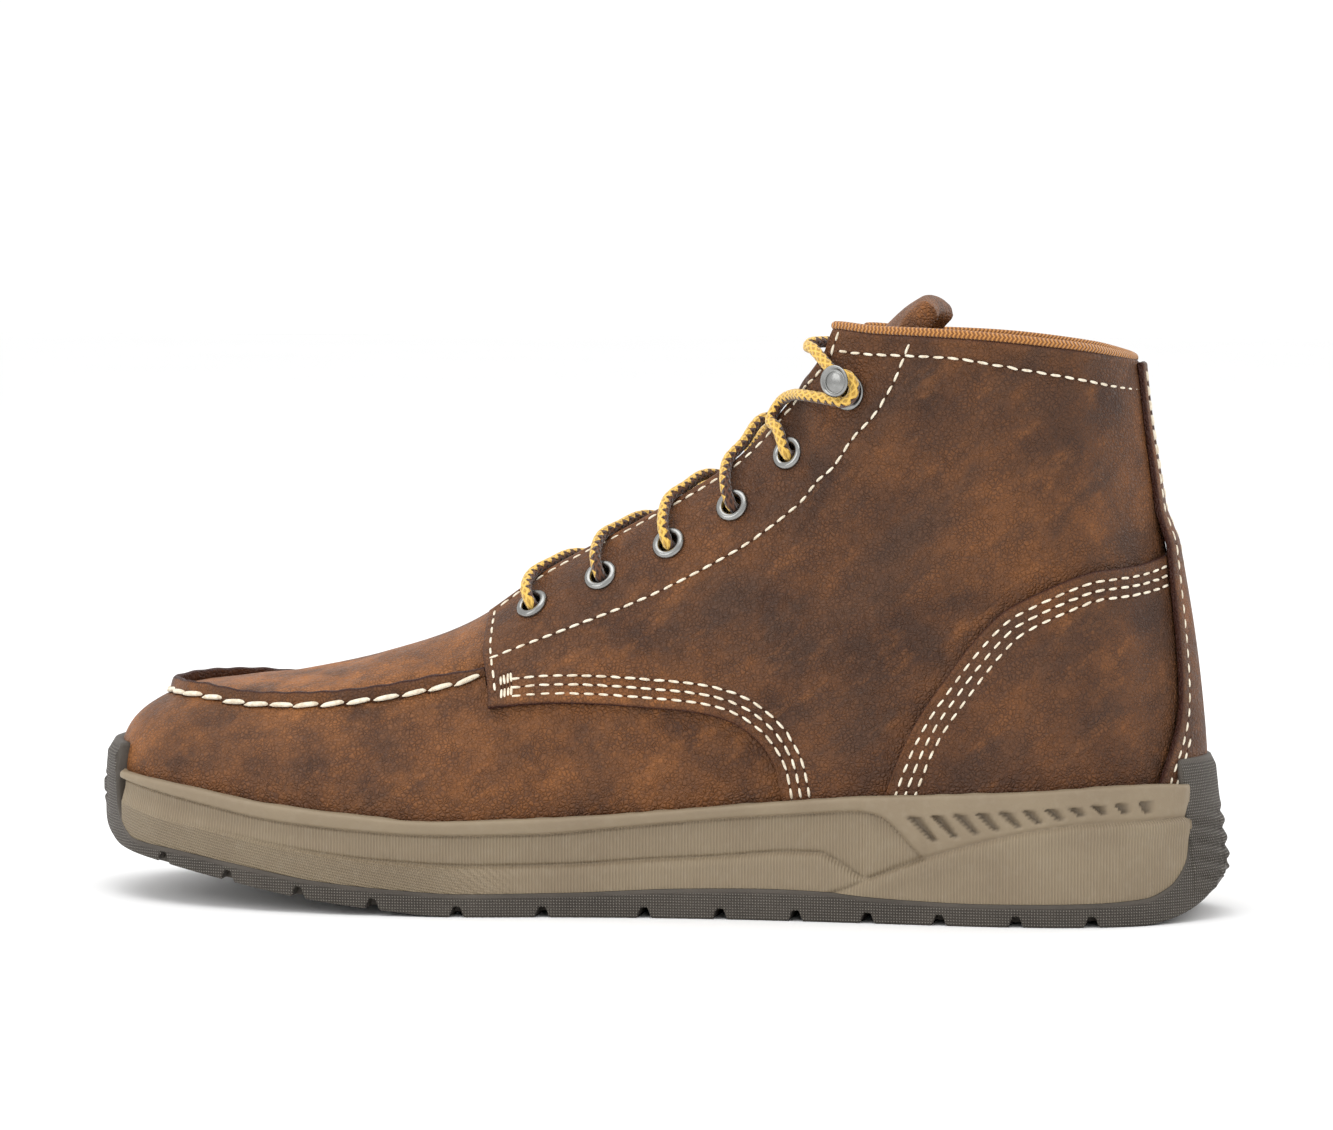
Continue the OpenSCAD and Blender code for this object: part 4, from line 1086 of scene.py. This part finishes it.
def midsole():
    """The foam's two sides, with the ledge that runs from their top edge in to the upper."""
    x = stations(0.85)
    x = x[(x > -145.05) & (x < 147.65)]
    bottom = line_at(PARTING, x) + 0.15
    top = line_at(MIDSOLE_TOP, x)
    f = np.linspace(0, 1, MIDSOLE_ROWS)
    verts, faces, marks, shades = [], [], [], []
    for side in (1, -1):
        y, out, w = at_outline(side, x)
        z = bottom[:, None] + (top - bottom)[:, None] * f
        xx = np.broadcast_to(x[:, None], z.shape)
        height, kind = midsole_relief(xx, z)
        height = height - edge_drop((1 - f[None, :]) * (top - bottom)[:, None], 1.2)
        wall = np.stack([xx, np.broadcast_to(y[:, None], z.shape), z], -1)
        wall = wall + out[:, None] * (height - 0.4)[..., None]
        rim = wall[:, -1]
        t = upper_at_height(w, top)
        foot = upper(w, t, edge(SOLE_LEDGE, w) + 0.15)
        ledge = []
        for g, drop in ((0.35, 0.1), (0.6, 0.0), (0.78, 0.25), (0.9, 0.9), (1.0, 2.4)):
            spot = rim + (foot - rim) * g
            spot[:, 2] = top - drop + 0.15 * ripple(spot, 6, 1)
            ledge.append(spot)
        points = np.concatenate([wall, np.stack(ledge, 1)], 1)
        n, m = points.shape[:2]
        mark = np.zeros((n, m, 3))
        mark[..., 0] = run_along(np.stack([x, y], 1))[:, None]
        mark[:, :MIDSOLE_ROWS, 1] = z
        mark[:, :MIDSOLE_ROWS, 2] = kind
        # Painted shade: darker in the heel's slanted recesses and along the ledge's inner edge at
        # the upper; it is stored in the rim attribute.
        shade = np.zeros((n, m))
        shade[:, :MIDSOLE_ROWS] = 0.55 * np.clip(1.3 * recesses(xx, z) - 0.3, 0, 1)
        shade[:, -3:] = 0.3, 0.8, 1.0
        faces.append(grid_faces(n, m, count_points(verts), flip=side < 0))
        verts.append(points.reshape(-1, 3))
        marks.append(mark.reshape(-1, 3))
        shades.append(shade.ravel())
    add_piece("midsole", np.concatenate(verts), np.concatenate(faces), MIDSOLE_LOOK,
              "midsole_foam", replaces=("midsole",), mark=np.concatenate(marks),
              rim=np.concatenate(shades))


OUTSOLE_ROWS = 44


def outsole_top(x):
    """Top of the outsole's wall: the parting line, the toe bumper and the heel cup."""
    bumper = BUMPER_TOP - edge_drop(np.clip((BUMPER_X - x) * 2, 0, 3), 3)
    cup = CUP_TOP - edge_drop(np.clip((x - CUP_X + 0.2) * 2.4, 0, 3), 3)
    return np.where(x < BUMPER_X, bumper, np.where(x > CUP_X, cup, line_at(PARTING, x)))


def notch(x):
    """Depth of the grooves across the tread."""
    return sum(2.8 * soft(2.05 - np.abs(x - g), 0, 1.3) for g in GROOVES)


def outsole_wall(side, x, low, high):
    """Points of the rubber's outer wall on one side, their heights, and the way out."""
    y, out, _ = at_outline(side, x)
    f = np.linspace(0, 1, OUTSOLE_ROWS)
    z = low[:, None] + (high - low)[:, None] * f
    xx = np.broadcast_to(x[:, None], z.shape).copy()
    yy = np.broadcast_to(y[:, None], z.shape).copy()
    toe, heel = soft(-xx, 120, 150), soft(xx, 120, 150)
    lean = line_at(BUMPER_FRONT, z) * toe - line_at(CUP_BACK, z) * heel
    fall = edge_drop(f[None, :] * (high - low)[:, None], 0.7)
    ribs = 0.5 * np.sin((z - 7 + 1.6 * np.cos(yy / 6)) * 2 * math.pi / 4.6)
    ribs = ribs * soft(z, 6, 9) * soft(-z, -31, -26) * soft(xx, 146, 150)
    front = sum(1.2 * bump(z - h, 0.6) for h in (26.2, 31.0))
    front = front - 0.5 * soft(z, 23, 26) * soft(-z, -33, -30.5)
    front = front * soft(19 - np.abs(yy), 0, 3) * soft(-xx, 147, 150.5)
    points = np.stack([xx + lean, yy, z], -1)
    points = points + out[:, None] * (ribs - front - fall)[..., None]
    return points, z, out


def outsole():
    """One sheet: up one wall, along the tread, and up the other wall, with its top edges."""
    x = stations(0.8)
    tread = line_at(TREAD_LINE, x) + notch(x)
    high = outsole_top(x)
    low = np.minimum(tread, high - 1.2)
    walls, marks = {}, {}
    for side in (1, -1):
        points, z, out = outsole_wall(side, x, low, high)
        thick = np.interp(x, (-147, -145, 146, 148.5), (3.2, 5, 5, 4.0))[:, None]
        ledge = [points[:, -1] - out * thick * g - [0, 0, d]
                 for g, d in ((0.25, -0.15), (0.8, 0.0), (1.0, 1.2), (1.0, 5.0))]
        walls[side] = np.concatenate([points, np.stack(ledge, 1)], 1)
        mark = np.zeros((*walls[side].shape[:2], 3))
        mark[..., 0] = run_along(np.stack([x, points[:, 0, 1]], 1))[:, None]
        mark[:, :OUTSOLE_ROWS, 1] = z
        mark[:, :OUTSOLE_ROWS, 2] = soft(high[:, None] - z, 0.6, 1.4)
        marks[side] = mark
    across = np.linspace(0, 1, 72)[1:-1]
    a, b = walls[1][:, 0], walls[-1][:, 0]
    under = a[:, None] + (b - a)[:, None] * across[None, :, None]
    width = np.linalg.norm(b - a, axis=1)[:, None]
    aside = (across[None, :] - 0.5) * width
    from_wall = width / 2 - np.abs(aside)
    zigzag = np.sin(x[:, None] * math.pi / 10.2 + 1.4 * np.sin(aside / 7))
    inner = soft(from_wall, 5, 8) * soft(150 - np.abs(x[:, None]), 2, 6)
    under[..., 2] += (0.6 * soft(np.abs(zigzag), 0.22, 0.05) * inner
                      - 0.45 * notch(x)[:, None] * soft(from_wall, 6, 11))
    points = np.concatenate([walls[1][:, ::-1], under, walls[-1]], 1)
    mark = np.concatenate([marks[1][:, ::-1], np.zeros(under.shape), marks[-1]], 1)
    n, m = points.shape[:2]
    add_piece("outsole", points.reshape(-1, 3), grid_faces(n, m, flip=True), RUBBER_LOOK,
              "rubber", replaces=("outsole",), mark=mark.reshape(-1, 3))


midsole()
outsole()


# ---- Tubes: lace, piping, aglets ----
def through(points, parts):
    """A smooth curve through the points, in so many parts between each two."""
    p = np.asarray(points, float)
    p = np.concatenate([[2 * p[0] - p[1]], p, [2 * p[-1] - p[-2]]])
    f = (np.arange(parts) / parts)[None, :, None]
    a, b, c, d = (p[k:len(p) - 3 + k, None] for k in range(4))
    return np.concatenate([spline(a, b, c, d, f).reshape(-1, 3), p[-2:-1]])


def tube(name, path, radius, material, slot, sides=18, facing=(0.1, 0.2, 1), braid=0.0,
         **options):
    """A round cord along a path. Its braid attribute holds the way round and the distance run."""
    length = run_along(path)
    run = np.linspace(0, length[-1], max(2, int(length[-1] / TUBE_STEP)))
    centre = taken(path, length, run)
    forward = unit(np.gradient(centre, axis=0))
    facing = np.array(facing, float)
    across = [facing]
    for ahead in forward:
        wish = across[-1] + 0.12 * (facing - ahead * (facing @ ahead))
        across.append(unit(wish - ahead * (wish @ ahead)))
    across = np.array(across[1:])
    other = np.cross(forward, across)
    a = np.linspace(0, 2 * math.pi, sides, endpoint=False)
    close = np.clip(np.minimum(run, run[-1] - run)[:, None] / radius, 0.02, 1)
    turns = run[:, None] * 2 * math.pi / BRAID_PITCH
    r = (radius * np.sqrt(close * (2 - close))
         + braid * np.maximum(np.sin(6 * a + turns), np.sin(6 * a - turns)))
    points = centre[:, None] + r[..., None] * (across[:, None] * np.cos(a)[:, None]
                                               + other[:, None] * np.sin(a)[:, None])
    caps = [list(range(sides)), list(range((len(run) - 1) * sides, len(run) * sides))[::-1]]
    marks = np.stack(np.broadcast_arrays(np.cos(a), np.sin(a), run[:, None]), -1)
    return add_piece(name, points.reshape(-1, 3), [*ring_faces(len(run), sides), *caps],
                     material, slot, braid=marks.reshape(-1, 3), **options)


TUBE_STEP = 0.5

# The lace: how deep it runs under and over the panels, across the tongue, and down the throat.
LACE_D = 3.1
UNDER_D = -FACING - 0.8 - LACE_D / 2
OVER_D = FACE + LACE_D / 2 + 0.1
EDGE_T = 0.83
CROSS_D = LACE_D / 2 + 0.06
CROSS_DROP = 1.25
TUCK_D = -6.3


def on(w, t, d):
    return upper(w, t, float(d))


def mid_throat(u, d):
    """A point in the throat's middle plane, between ribs u and -u."""
    p, q = on(u, 1, 0), outward(u, 1)
    return np.array([p[0], 0, p[2]]) + unit(np.array([q[0], 0, q[2]])) * d


def up_eyelet(s, k):
    """From below the k-th eyelet of side s, up through it."""
    w, t = s * EYELETS[k][0], EYELETS[k][1]
    return [on(w, t + 0.02, UNDER_D + 0.2), on(w, t, -FACING - 1), on(w, t, 0),
            on(w, t, FACE + 1)]


def crossing(s, k):
    """From the k-th eyelet of side s over the edge, across the tongue and under the other side."""
    a, b, t = EYELETS[k][0], EYELETS[k + 1][0], EYELETS[k + 1][1]
    rise = EYELETS[k][1] + (EDGE_T - EYELETS[k][1]) * 0.4
    return [on(s * (a - 0.02), rise, OVER_D + 0.9), on(s * (a + 0.02), EDGE_T, OVER_D + 0.4),
            on(s * (a + (b - a) * 0.22), EDGE_T + 0.06, OVER_D - 1.3),
            mid_throat(a + (b - a) * 0.5, s * CROSS_D - CROSS_DROP),
            on(-s * (a + (b - a) * 0.85), 0.84, UNDER_D), on(-s * b, t + 0.08, UNDER_D - 0.4)]


HOOK_NECK = 1.9
WRAP_R = HOOK_NECK + LACE_D / 2 + 0.15
WRAP_H = FACE + 1.5 + LACE_D / 2


def hook_point(s, angle, r, h):
    """A point this far round the hook's neck, from the back (0 degrees) over its top."""
    w, t = s * HOOK[0], HOOK[1]
    axis = outward(w, t)
    up = unit(np.array([0, 0, 1]) - axis * axis[2])
    back = s * np.cross(up, axis)
    angle = math.radians(angle)
    return on(w, t, h) + r * (back * math.cos(angle) + up * math.sin(angle)) + up * 0.9


def hook_run(s):
    """From the top eyelet forward, back under and round the hook, and over into the throat."""
    run = [on(s * 8.83, 0.785, OVER_D + 0.5), on(s * 8.7, 0.835, OVER_D + 0.2),
           on(s * 8.93, 0.862, OVER_D + 0.1), on(s * 9.4, 0.84, OVER_D + 0.2),
           on(s * 9.9, 0.812, OVER_D + 0.4)]
    run += [hook_point(s, a, WRAP_R, WRAP_H) for a in range(-115, 91, 20)]
    return run + [hook_point(s, 125, WRAP_R + 1.6, WRAP_H - 0.4),
                  on(s * 10.1, 0.93, OVER_D + 0.2), on(s * 9.88, 0.955, OVER_D - 1),
                  on(s * 9.8, 0.985, 0.3)]


def tucked(s, u, wide=1):
    """A point of the end that lies on the tongue, beside the other side's end."""
    return mid_throat(u, TUCK_D) + [0, -s * (LACE_D / 2 + GAP / 2) * wide, 0]


def tuck(s):
    return [tucked(s, 9.75, 2.5), tucked(s, 9.4, 1.5),
            *(tucked(s, u) for u in (9, 8.5, 8, 7.5, 7.1, 6.8))]


def half_lace(s):
    """From the bar between the lowest eyelets to one tucked end."""
    first = EYELETS[0][0]
    run = [mid_throat(first, UNDER_D - 0.6), on(s * first, 0.88, UNDER_D)]
    for k in range(len(EYELETS) - 1):
        side = s if k % 2 == 0 else -s
        run += up_eyelet(side, k) + crossing(side, k)
    return run + up_eyelet(s, len(EYELETS) - 1) + hook_run(s) + tuck(s)


BRAID_RELIEF = 0.09
tube("lace", through(half_lace(1)[::-1] + half_lace(-1)[1:], 8), LACE_D / 2 - BRAID_RELIEF,
     LACE_LOOK, "lace_cord", braid=BRAID_RELIEF, facing=(-0.8, 0.1, 0.6), replaces=("lace",))
for side, suffix in SIDES.items():
    tube("aglet_" + suffix, through([tucked(side, u) for u in (6.77, 6.45, 6.1)], 8), 1.6,
         AGLET_LOOK, "aglet_plastic", sides=20, replaces=("aglets",) if side > 0 else ())

# The piping lies on the collar's edge, a little higher on the medial side.
piping_w = np.linspace(10.24, AROUND - 10.24, 400)
piping_rise = 0.3 + 0.7 * np.clip((HEEL - piping_w) / 1.5, -1, 1)
piping_line = upper(piping_w, 1.0, np.full(400, 0.8)) + piping_rise[:, None] * [0, 0, 1]
tube("collar_piping", piping_line, 1.2, PIPING_LOOK, "piping_knit", sides=24,
     replaces=("collar_piping",))


# ---- Eyelets and hooks ----
HOOK_LEAN = 0.5
LEAN_FROM = FACE + 1.3


def turned(profile, w, t, segments=56):
    """A turned part whose axis stands out of the upper at w, t. Above the hook's foot it leans."""
    profile = np.array(profile, float)
    axis = outward(w, t)
    first = unit(np.cross(axis, [0.3, 0.1, 1.0]))
    second = np.cross(axis, first)
    a = np.linspace(0, 2 * math.pi, segments, endpoint=False)
    ring = np.cos(a)[:, None] * first + np.sin(a)[:, None] * second
    up = unit(slopes(w, t)[1])
    lean = HOOK_LEAN * np.maximum(profile[None, :, 1:] - LEAN_FROM, 0)
    points = (surface(w, t) + profile[None, :, :1] * ring[:, None]
              + profile[None, :, 1:] * axis + lean * up)
    n, m = segments, len(profile)
    i, j = (v.ravel() for v in np.meshgrid(np.arange(n), np.arange(m - 1), indexing="ij"))
    l = (i + 1) % n
    return points.reshape(-1, 3), np.stack([i * m + j, i * m + j + 1, l * m + j + 1, l * m + j], 1)


def arc(centre, radius, start, end, count=9):
    a = np.radians(np.linspace(start, end, count))
    return [(centre[0] + radius[0] * math.cos(v), centre[1] + radius[1] * math.sin(v))
            for v in a]


def eyelet_profile():
    roll = arc((3.5, FACE + 0.15), (1.1, 0.95), 0, 180, 14)
    return [(2.4, -FACING - 0.3), (2.4, FACE), *roll[::-1], (4.5, FACE - 0.4)]


def hook_profile():
    head = FACE + 6.2
    return [(4.8, FACE), (4.8, FACE + 0.35), *arc((4.3, FACE + 0.35), (0.5, 0.5), 0, 90, 5),
            (2.7, FACE + 1.0), (2.1, FACE + 1.3), (HOOK_NECK, FACE + 2),
            (HOOK_NECK, head - 0.9), (2.3, head - 0.35), (3.4, head), (3.8, head + 0.1),
            *arc((3.75, head + 0.5), (0.4, 0.4), -60, 70, 8), (3.45, head + 0.75),
            (3.2, head + 0.35), (3.0, head + 0.15), (2.8, head + 0.2),
            *arc((0, head + 0.15), (2.7, 0.6), 20, 90, 9)]


def fittings(side, name, places, profile):
    verts, faces = [], []
    for w, t in places:
        points, own = turned(profile, side * w, t)
        faces.append(own + count_points(verts))
        verts.append(points)
    add_piece(name, np.concatenate(verts), np.concatenate(faces), NICKEL_LOOK, "nickel",
              replaces=(name,))


for side, suffix in SIDES.items():
    fittings(side, "eyelets_" + suffix, EYELETS, eyelet_profile())
    fittings(side, "lace_hook_" + suffix, [HOOK], hook_profile())


# ---- Tongue ----
# The tongue's middle line from root to tip: x, z, half its width, and how far its sides lie back.
TONGUE = [(-36, 73, 13, 3), (-22, 82, 15, 7), (0, 94.5, 16, 10), (21, 109, 17, 15),
          (34.5, 120.5, 18, 19), (47, 135, 20, 17), (57, 149, 24, 12), (66.5, 159, 22, 5),
          (74.5, 164.4, 15, 2)]
TONGUE_LEATHER = 1.5
TONGUE_FOAM = 4.3
TONGUE_LINING = 1.2
TONGUE_ROWS, TONGUE_COLUMNS = 150, 61
# From this row on, the leather is folded over the padding's end.
TONGUE_FOLD = 116
PAD_ROWS, PAD_COLUMNS = 110, 41
# The pad's rows are counted on a tongue of this many.
PAD_WHOLE = 140
FILL_PRESSURE = 4
FILL_FRAMES = 20
FILL_MOVE = 1.2


def tongue_sections(count):
    table = np.array(TONGUE, float)
    rows = np.concatenate([[2 * table[0] - table[1]], table, [2 * table[-1] - table[-2]]])
    u = np.linspace(0, len(TONGUE) - 1 - 1e-6, count)
    k = u.astype(int)
    return spline(*(rows[k + i] for i in range(4)), (u - k)[:, None])


def tongue_grid(p, depth, count=TONGUE_ROWS):
    """Points of the tongue for each section, at places p across and this far behind its front."""
    s = tongue_sections(count)
    slope = unit(np.gradient(s[:, :2], axis=0))
    back = np.stack([slope[:, 1], np.zeros(count), -slope[:, 0]], 1)[:, None]
    p = np.broadcast_to(p, (count, np.shape(p)[-1]))
    bend = np.zeros((*p.shape, 3))
    bend[..., 1] = -2 * s[:, 3:4] * p / s[:, 2:3]
    lean = unit(back + bend)
    middle = np.stack([s[:, 0], np.zeros(count), s[:, 1]], 1)[:, None]
    aside = np.zeros((*p.shape, 3))
    aside[..., 1] = p * s[:, 2:3]
    return (middle + aside + back * (s[:, 3:4] * p ** 2)[..., None]
            + lean * np.asarray(depth)[..., None])


def tongue():
    """The leather, which folds over to a thick edge at its tip, and the pad behind it."""
    n, m = TONGUE_ROWS, TONGUE_COLUMNS
    p = np.sin(np.linspace(-1, 1, m) * math.pi / 2)[None, :]
    front = tongue_grid(p, np.zeros((n, m)))
    sides = across_rows(front.transpose(1, 0, 2))
    distance = nearest(*across_rows(front), *(run.T for run in sides))
    folded = soft(np.arange(n)[:, None], TONGUE_FOLD, TONGUE_FOLD + 4)
    thin, thick = edge_drop(distance, 0.6), edge_drop(distance, 2.8)
    drop = thin + (thick - thin) * folded
    outer = tongue_grid(p, drop)
    inner = tongue_grid(p, TONGUE_LEATHER + (TONGUE_FOAM + TONGUE_LINING - drop) * folded)
    points = np.concatenate([outer[:, ::-1].reshape(-1, 3), inner[:, ::-1].reshape(-1, 3)])
    rim = (edge_rim(distance) * (1 - folded))[:, ::-1]
    back_rim = np.broadcast_to(1 - folded, distance.shape)
    add_piece("tongue_leather", points, shell_faces(n, m), LEATHER_LOOK, "brown_leather",
              body="tongue", replaces=("tongue_leather",),
              rim=np.concatenate([rim.ravel(), back_rim.ravel()]), wear=np.full(2 * n * m, 0.55))
    pad = tongue_pad()
    inflate(pad, PAD_ROWS * PAD_COLUMNS, FILL_MOVE)


def inflate(obj, held, cap):
    """Fills a closed piece like a cushion. Its first points are held, and no point moves more than
    cap millimetres."""
    data = obj.data
    before = np.empty(3 * len(data.vertices))
    data.vertices.foreach_get("co", before)
    group = obj.vertex_groups.new(name="held")
    group.add(list(range(held)), 1.0, "REPLACE")
    cloth = obj.modifiers.new("fill", "CLOTH")
    cloth.settings.vertex_group_mass = "held"
    cloth.settings.use_pressure = True
    cloth.settings.uniform_pressure_force = FILL_PRESSURE
    cloth.settings.effector_weights.gravity = 0
    for number in range(1, FILL_FRAMES + 1):
        bpy.context.scene.frame_set(number)
    filled = obj.evaluated_get(bpy.context.evaluated_depsgraph_get()).data
    after = np.empty_like(before)
    filled.vertices.foreach_get("co", after)
    obj.modifiers.remove(cloth)
    obj.vertex_groups.remove(group)
    bpy.context.scene.frame_set(1)
    move = (after - before).reshape(-1, 3)
    length = np.linalg.norm(move, axis=1, keepdims=True)
    move = move * np.minimum(1, cap * MM / np.maximum(length, 1e-9))
    data.vertices.foreach_set("co", before + move.ravel())
    data.update()


def tongue_pad():
    """Foam and lining behind the leather: one padded piece that is fuller in its middle."""
    count, m = PAD_ROWS, PAD_COLUMNS
    p = np.sin(np.linspace(-1, 1, m) * math.pi / 2)[None, :] * 0.985
    thick = TONGUE_FOAM + TONGUE_LINING + GAP
    round_off = np.sqrt(np.clip(1 - np.abs(p) ** 6, 0, 1))
    ends = np.clip(np.minimum(np.arange(count), count - 1 - np.arange(count)) / 6, 0, 1)[:, None]
    ends = np.sqrt(ends * (2 - ends))
    full = 0.3 + 0.7 * round_off * ends
    start = TONGUE_LEATHER + GAP * 0.7
    front = tongue_grid(p, np.full((PAD_WHOLE, m), start), PAD_WHOLE)[:count]
    padding = np.concatenate([full, np.repeat(full[-1:], PAD_WHOLE - count, 0)])
    rear = tongue_grid(p, start + thick * padding, PAD_WHOLE)[:count]
    points = np.concatenate([front[:, ::-1].reshape(-1, 3), rear[:, ::-1].reshape(-1, 3)])
    return add_piece("tongue_pad", points, shell_faces(count, m), LINING_LOOK, "lining_cloth",
                     body="tongue", replaces=("tongue_foam", "tongue_lining"))


tongue()


# ---- Linings, padding and footbed ----
def ankle_lining():
    """The padded lining, which rolls out to the collar's edge at its top."""
    ws = np.linspace(5.3, AROUND - 5.3, 420)
    r = np.abs((ws + HEEL) % AROUND - HEEL)
    high = np.where(r < 11.2, edge(FACING_EDGE, ws) - 0.02, 0.994)
    w, t, (_, top), _ = panel_grid(ws, np.full_like(ws, 0.03), high, 1.6)
    points = surface(w, t)
    roll = 2.3 * soft(t, 0.93, 0.992)
    pad = -0.5 * np.sin(np.clip(top / 40, 0, 1) * math.pi) ** 2 * (np.abs(w - HEEL) < 4)
    relief = roll + pad + 0.15 * ripple(points, 14, 2)
    cloth_shell("ankle_lining", w, t, LINING_D, LINING_D + LINING, np.full(w.shape, NO_EDGE),
                LINING_LOOK, "lining_cloth", relief, inside=relief, replaces=("ankle_lining",))


def sole_plate(name, inset, low, high, material, slot, body="footbed"):
    """A plate over the whole foot, with rounded edges."""
    w = np.linspace(0.02, HEEL - 0.02, 260)
    f = fractions([60.0], 1.6, (0, 0.15, 0.5, 1.2))[0]
    medial = surface(w, 0) - sideways(w) * inset
    lateral_side = surface(-w, 0) - sideways(-w) * inset
    base = medial[:, None] + (lateral_side - medial)[:, None] * f[None, :, None]
    width = np.linalg.norm(lateral_side - medial, axis=1)[:, None]
    distance = np.minimum(f * width, (1 - f) * width)
    drop = edge_drop(distance, min(0.6, (high - low) / 2))
    top, bottom = base.copy(), base.copy()
    top[..., 2] += high - drop
    bottom[..., 2] += low + drop
    points = np.concatenate([top.reshape(-1, 3), bottom.reshape(-1, 3)])
    return add_piece(name, points, shell_faces(*base.shape[:2]), material, slot, body=body,
                     replaces=(name,))


ankle_lining()
sole_plate("footbed_foam", 7, 2.6, 6.6, FOAM_LOOK, "foam")
sole_plate("footbed_cover", 7, 6.9, 7.8, FOOTBED_LOOK, "footbed_cloth")

KEPT = {"shank": SHANK_LOOK, "insole_board": BOARD_LOOK, "steel_toe_cap": CAP_LOOK,
        "toe_cap_edge_strip": STRIP_LOOK, "heel_counter": COUNTER_LOOK,
        "ankle_padding": FOAM_LOOK, "vamp_lining": LINING_LOOK}
for node, look in KEPT.items():
    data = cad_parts[node].data
    data.materials.clear()
    data.materials.append(look)


# ---- Floor and light ----
def floor_look():
    """Plain pale paper."""
    k = Look("floor", Roughness=0.8, Specular_IOR_Level=0.1)
    k.set(Base_Color=k.mix(k.noise(3.0), (0.93, 0.93, 0.93), (0.95, 0.95, 0.95)))
    return k.material


floor_mesh = bpy.data.meshes.new("floor")
floor_mesh.from_pydata([(-6, -6, 0), (6, -6, 0), (6, 6, 0), (-6, 6, 0)], [], [(0, 1, 2, 3)])
floor_mesh.materials.append(floor_look())
floor = bpy.data.objects.new("floor", floor_mesh)
bpy.context.scene.collection.objects.link(floor)

world = bpy.data.worlds.new("studio")
bpy.context.scene.world = world
world.use_nodes = True
world.node_tree.nodes["Background"].inputs["Color"].default_value = (1, 1, 1, 1)
world.node_tree.nodes["Background"].inputs["Strength"].default_value = 1.06
bpy.context.scene.view_settings.view_transform = "Standard"


def softbox(name, place, size, power):
    light = bpy.data.lights.new(name, "AREA")
    light.shape = "RECTANGLE"
    light.size, light.size_y = size
    light.energy = power
    obj = bpy.data.objects.new(name, light)
    obj.location = place
    obj.rotation_euler = (Vector((0, 0, 0.06)) - Vector(place)).to_track_quat("-Z", "Y").to_euler()
    bpy.context.scene.collection.objects.link(obj)


softbox("overhead", (-0.2, -0.3, 1.5), (1.4, 1.0), 9.0)
softbox("front_left", (-1.1, -1.2, 0.8), (0.9, 0.9), 5.0)
softbox("rear_right", (1.1, 0.9, 0.9), (0.7, 0.9), 4.0)
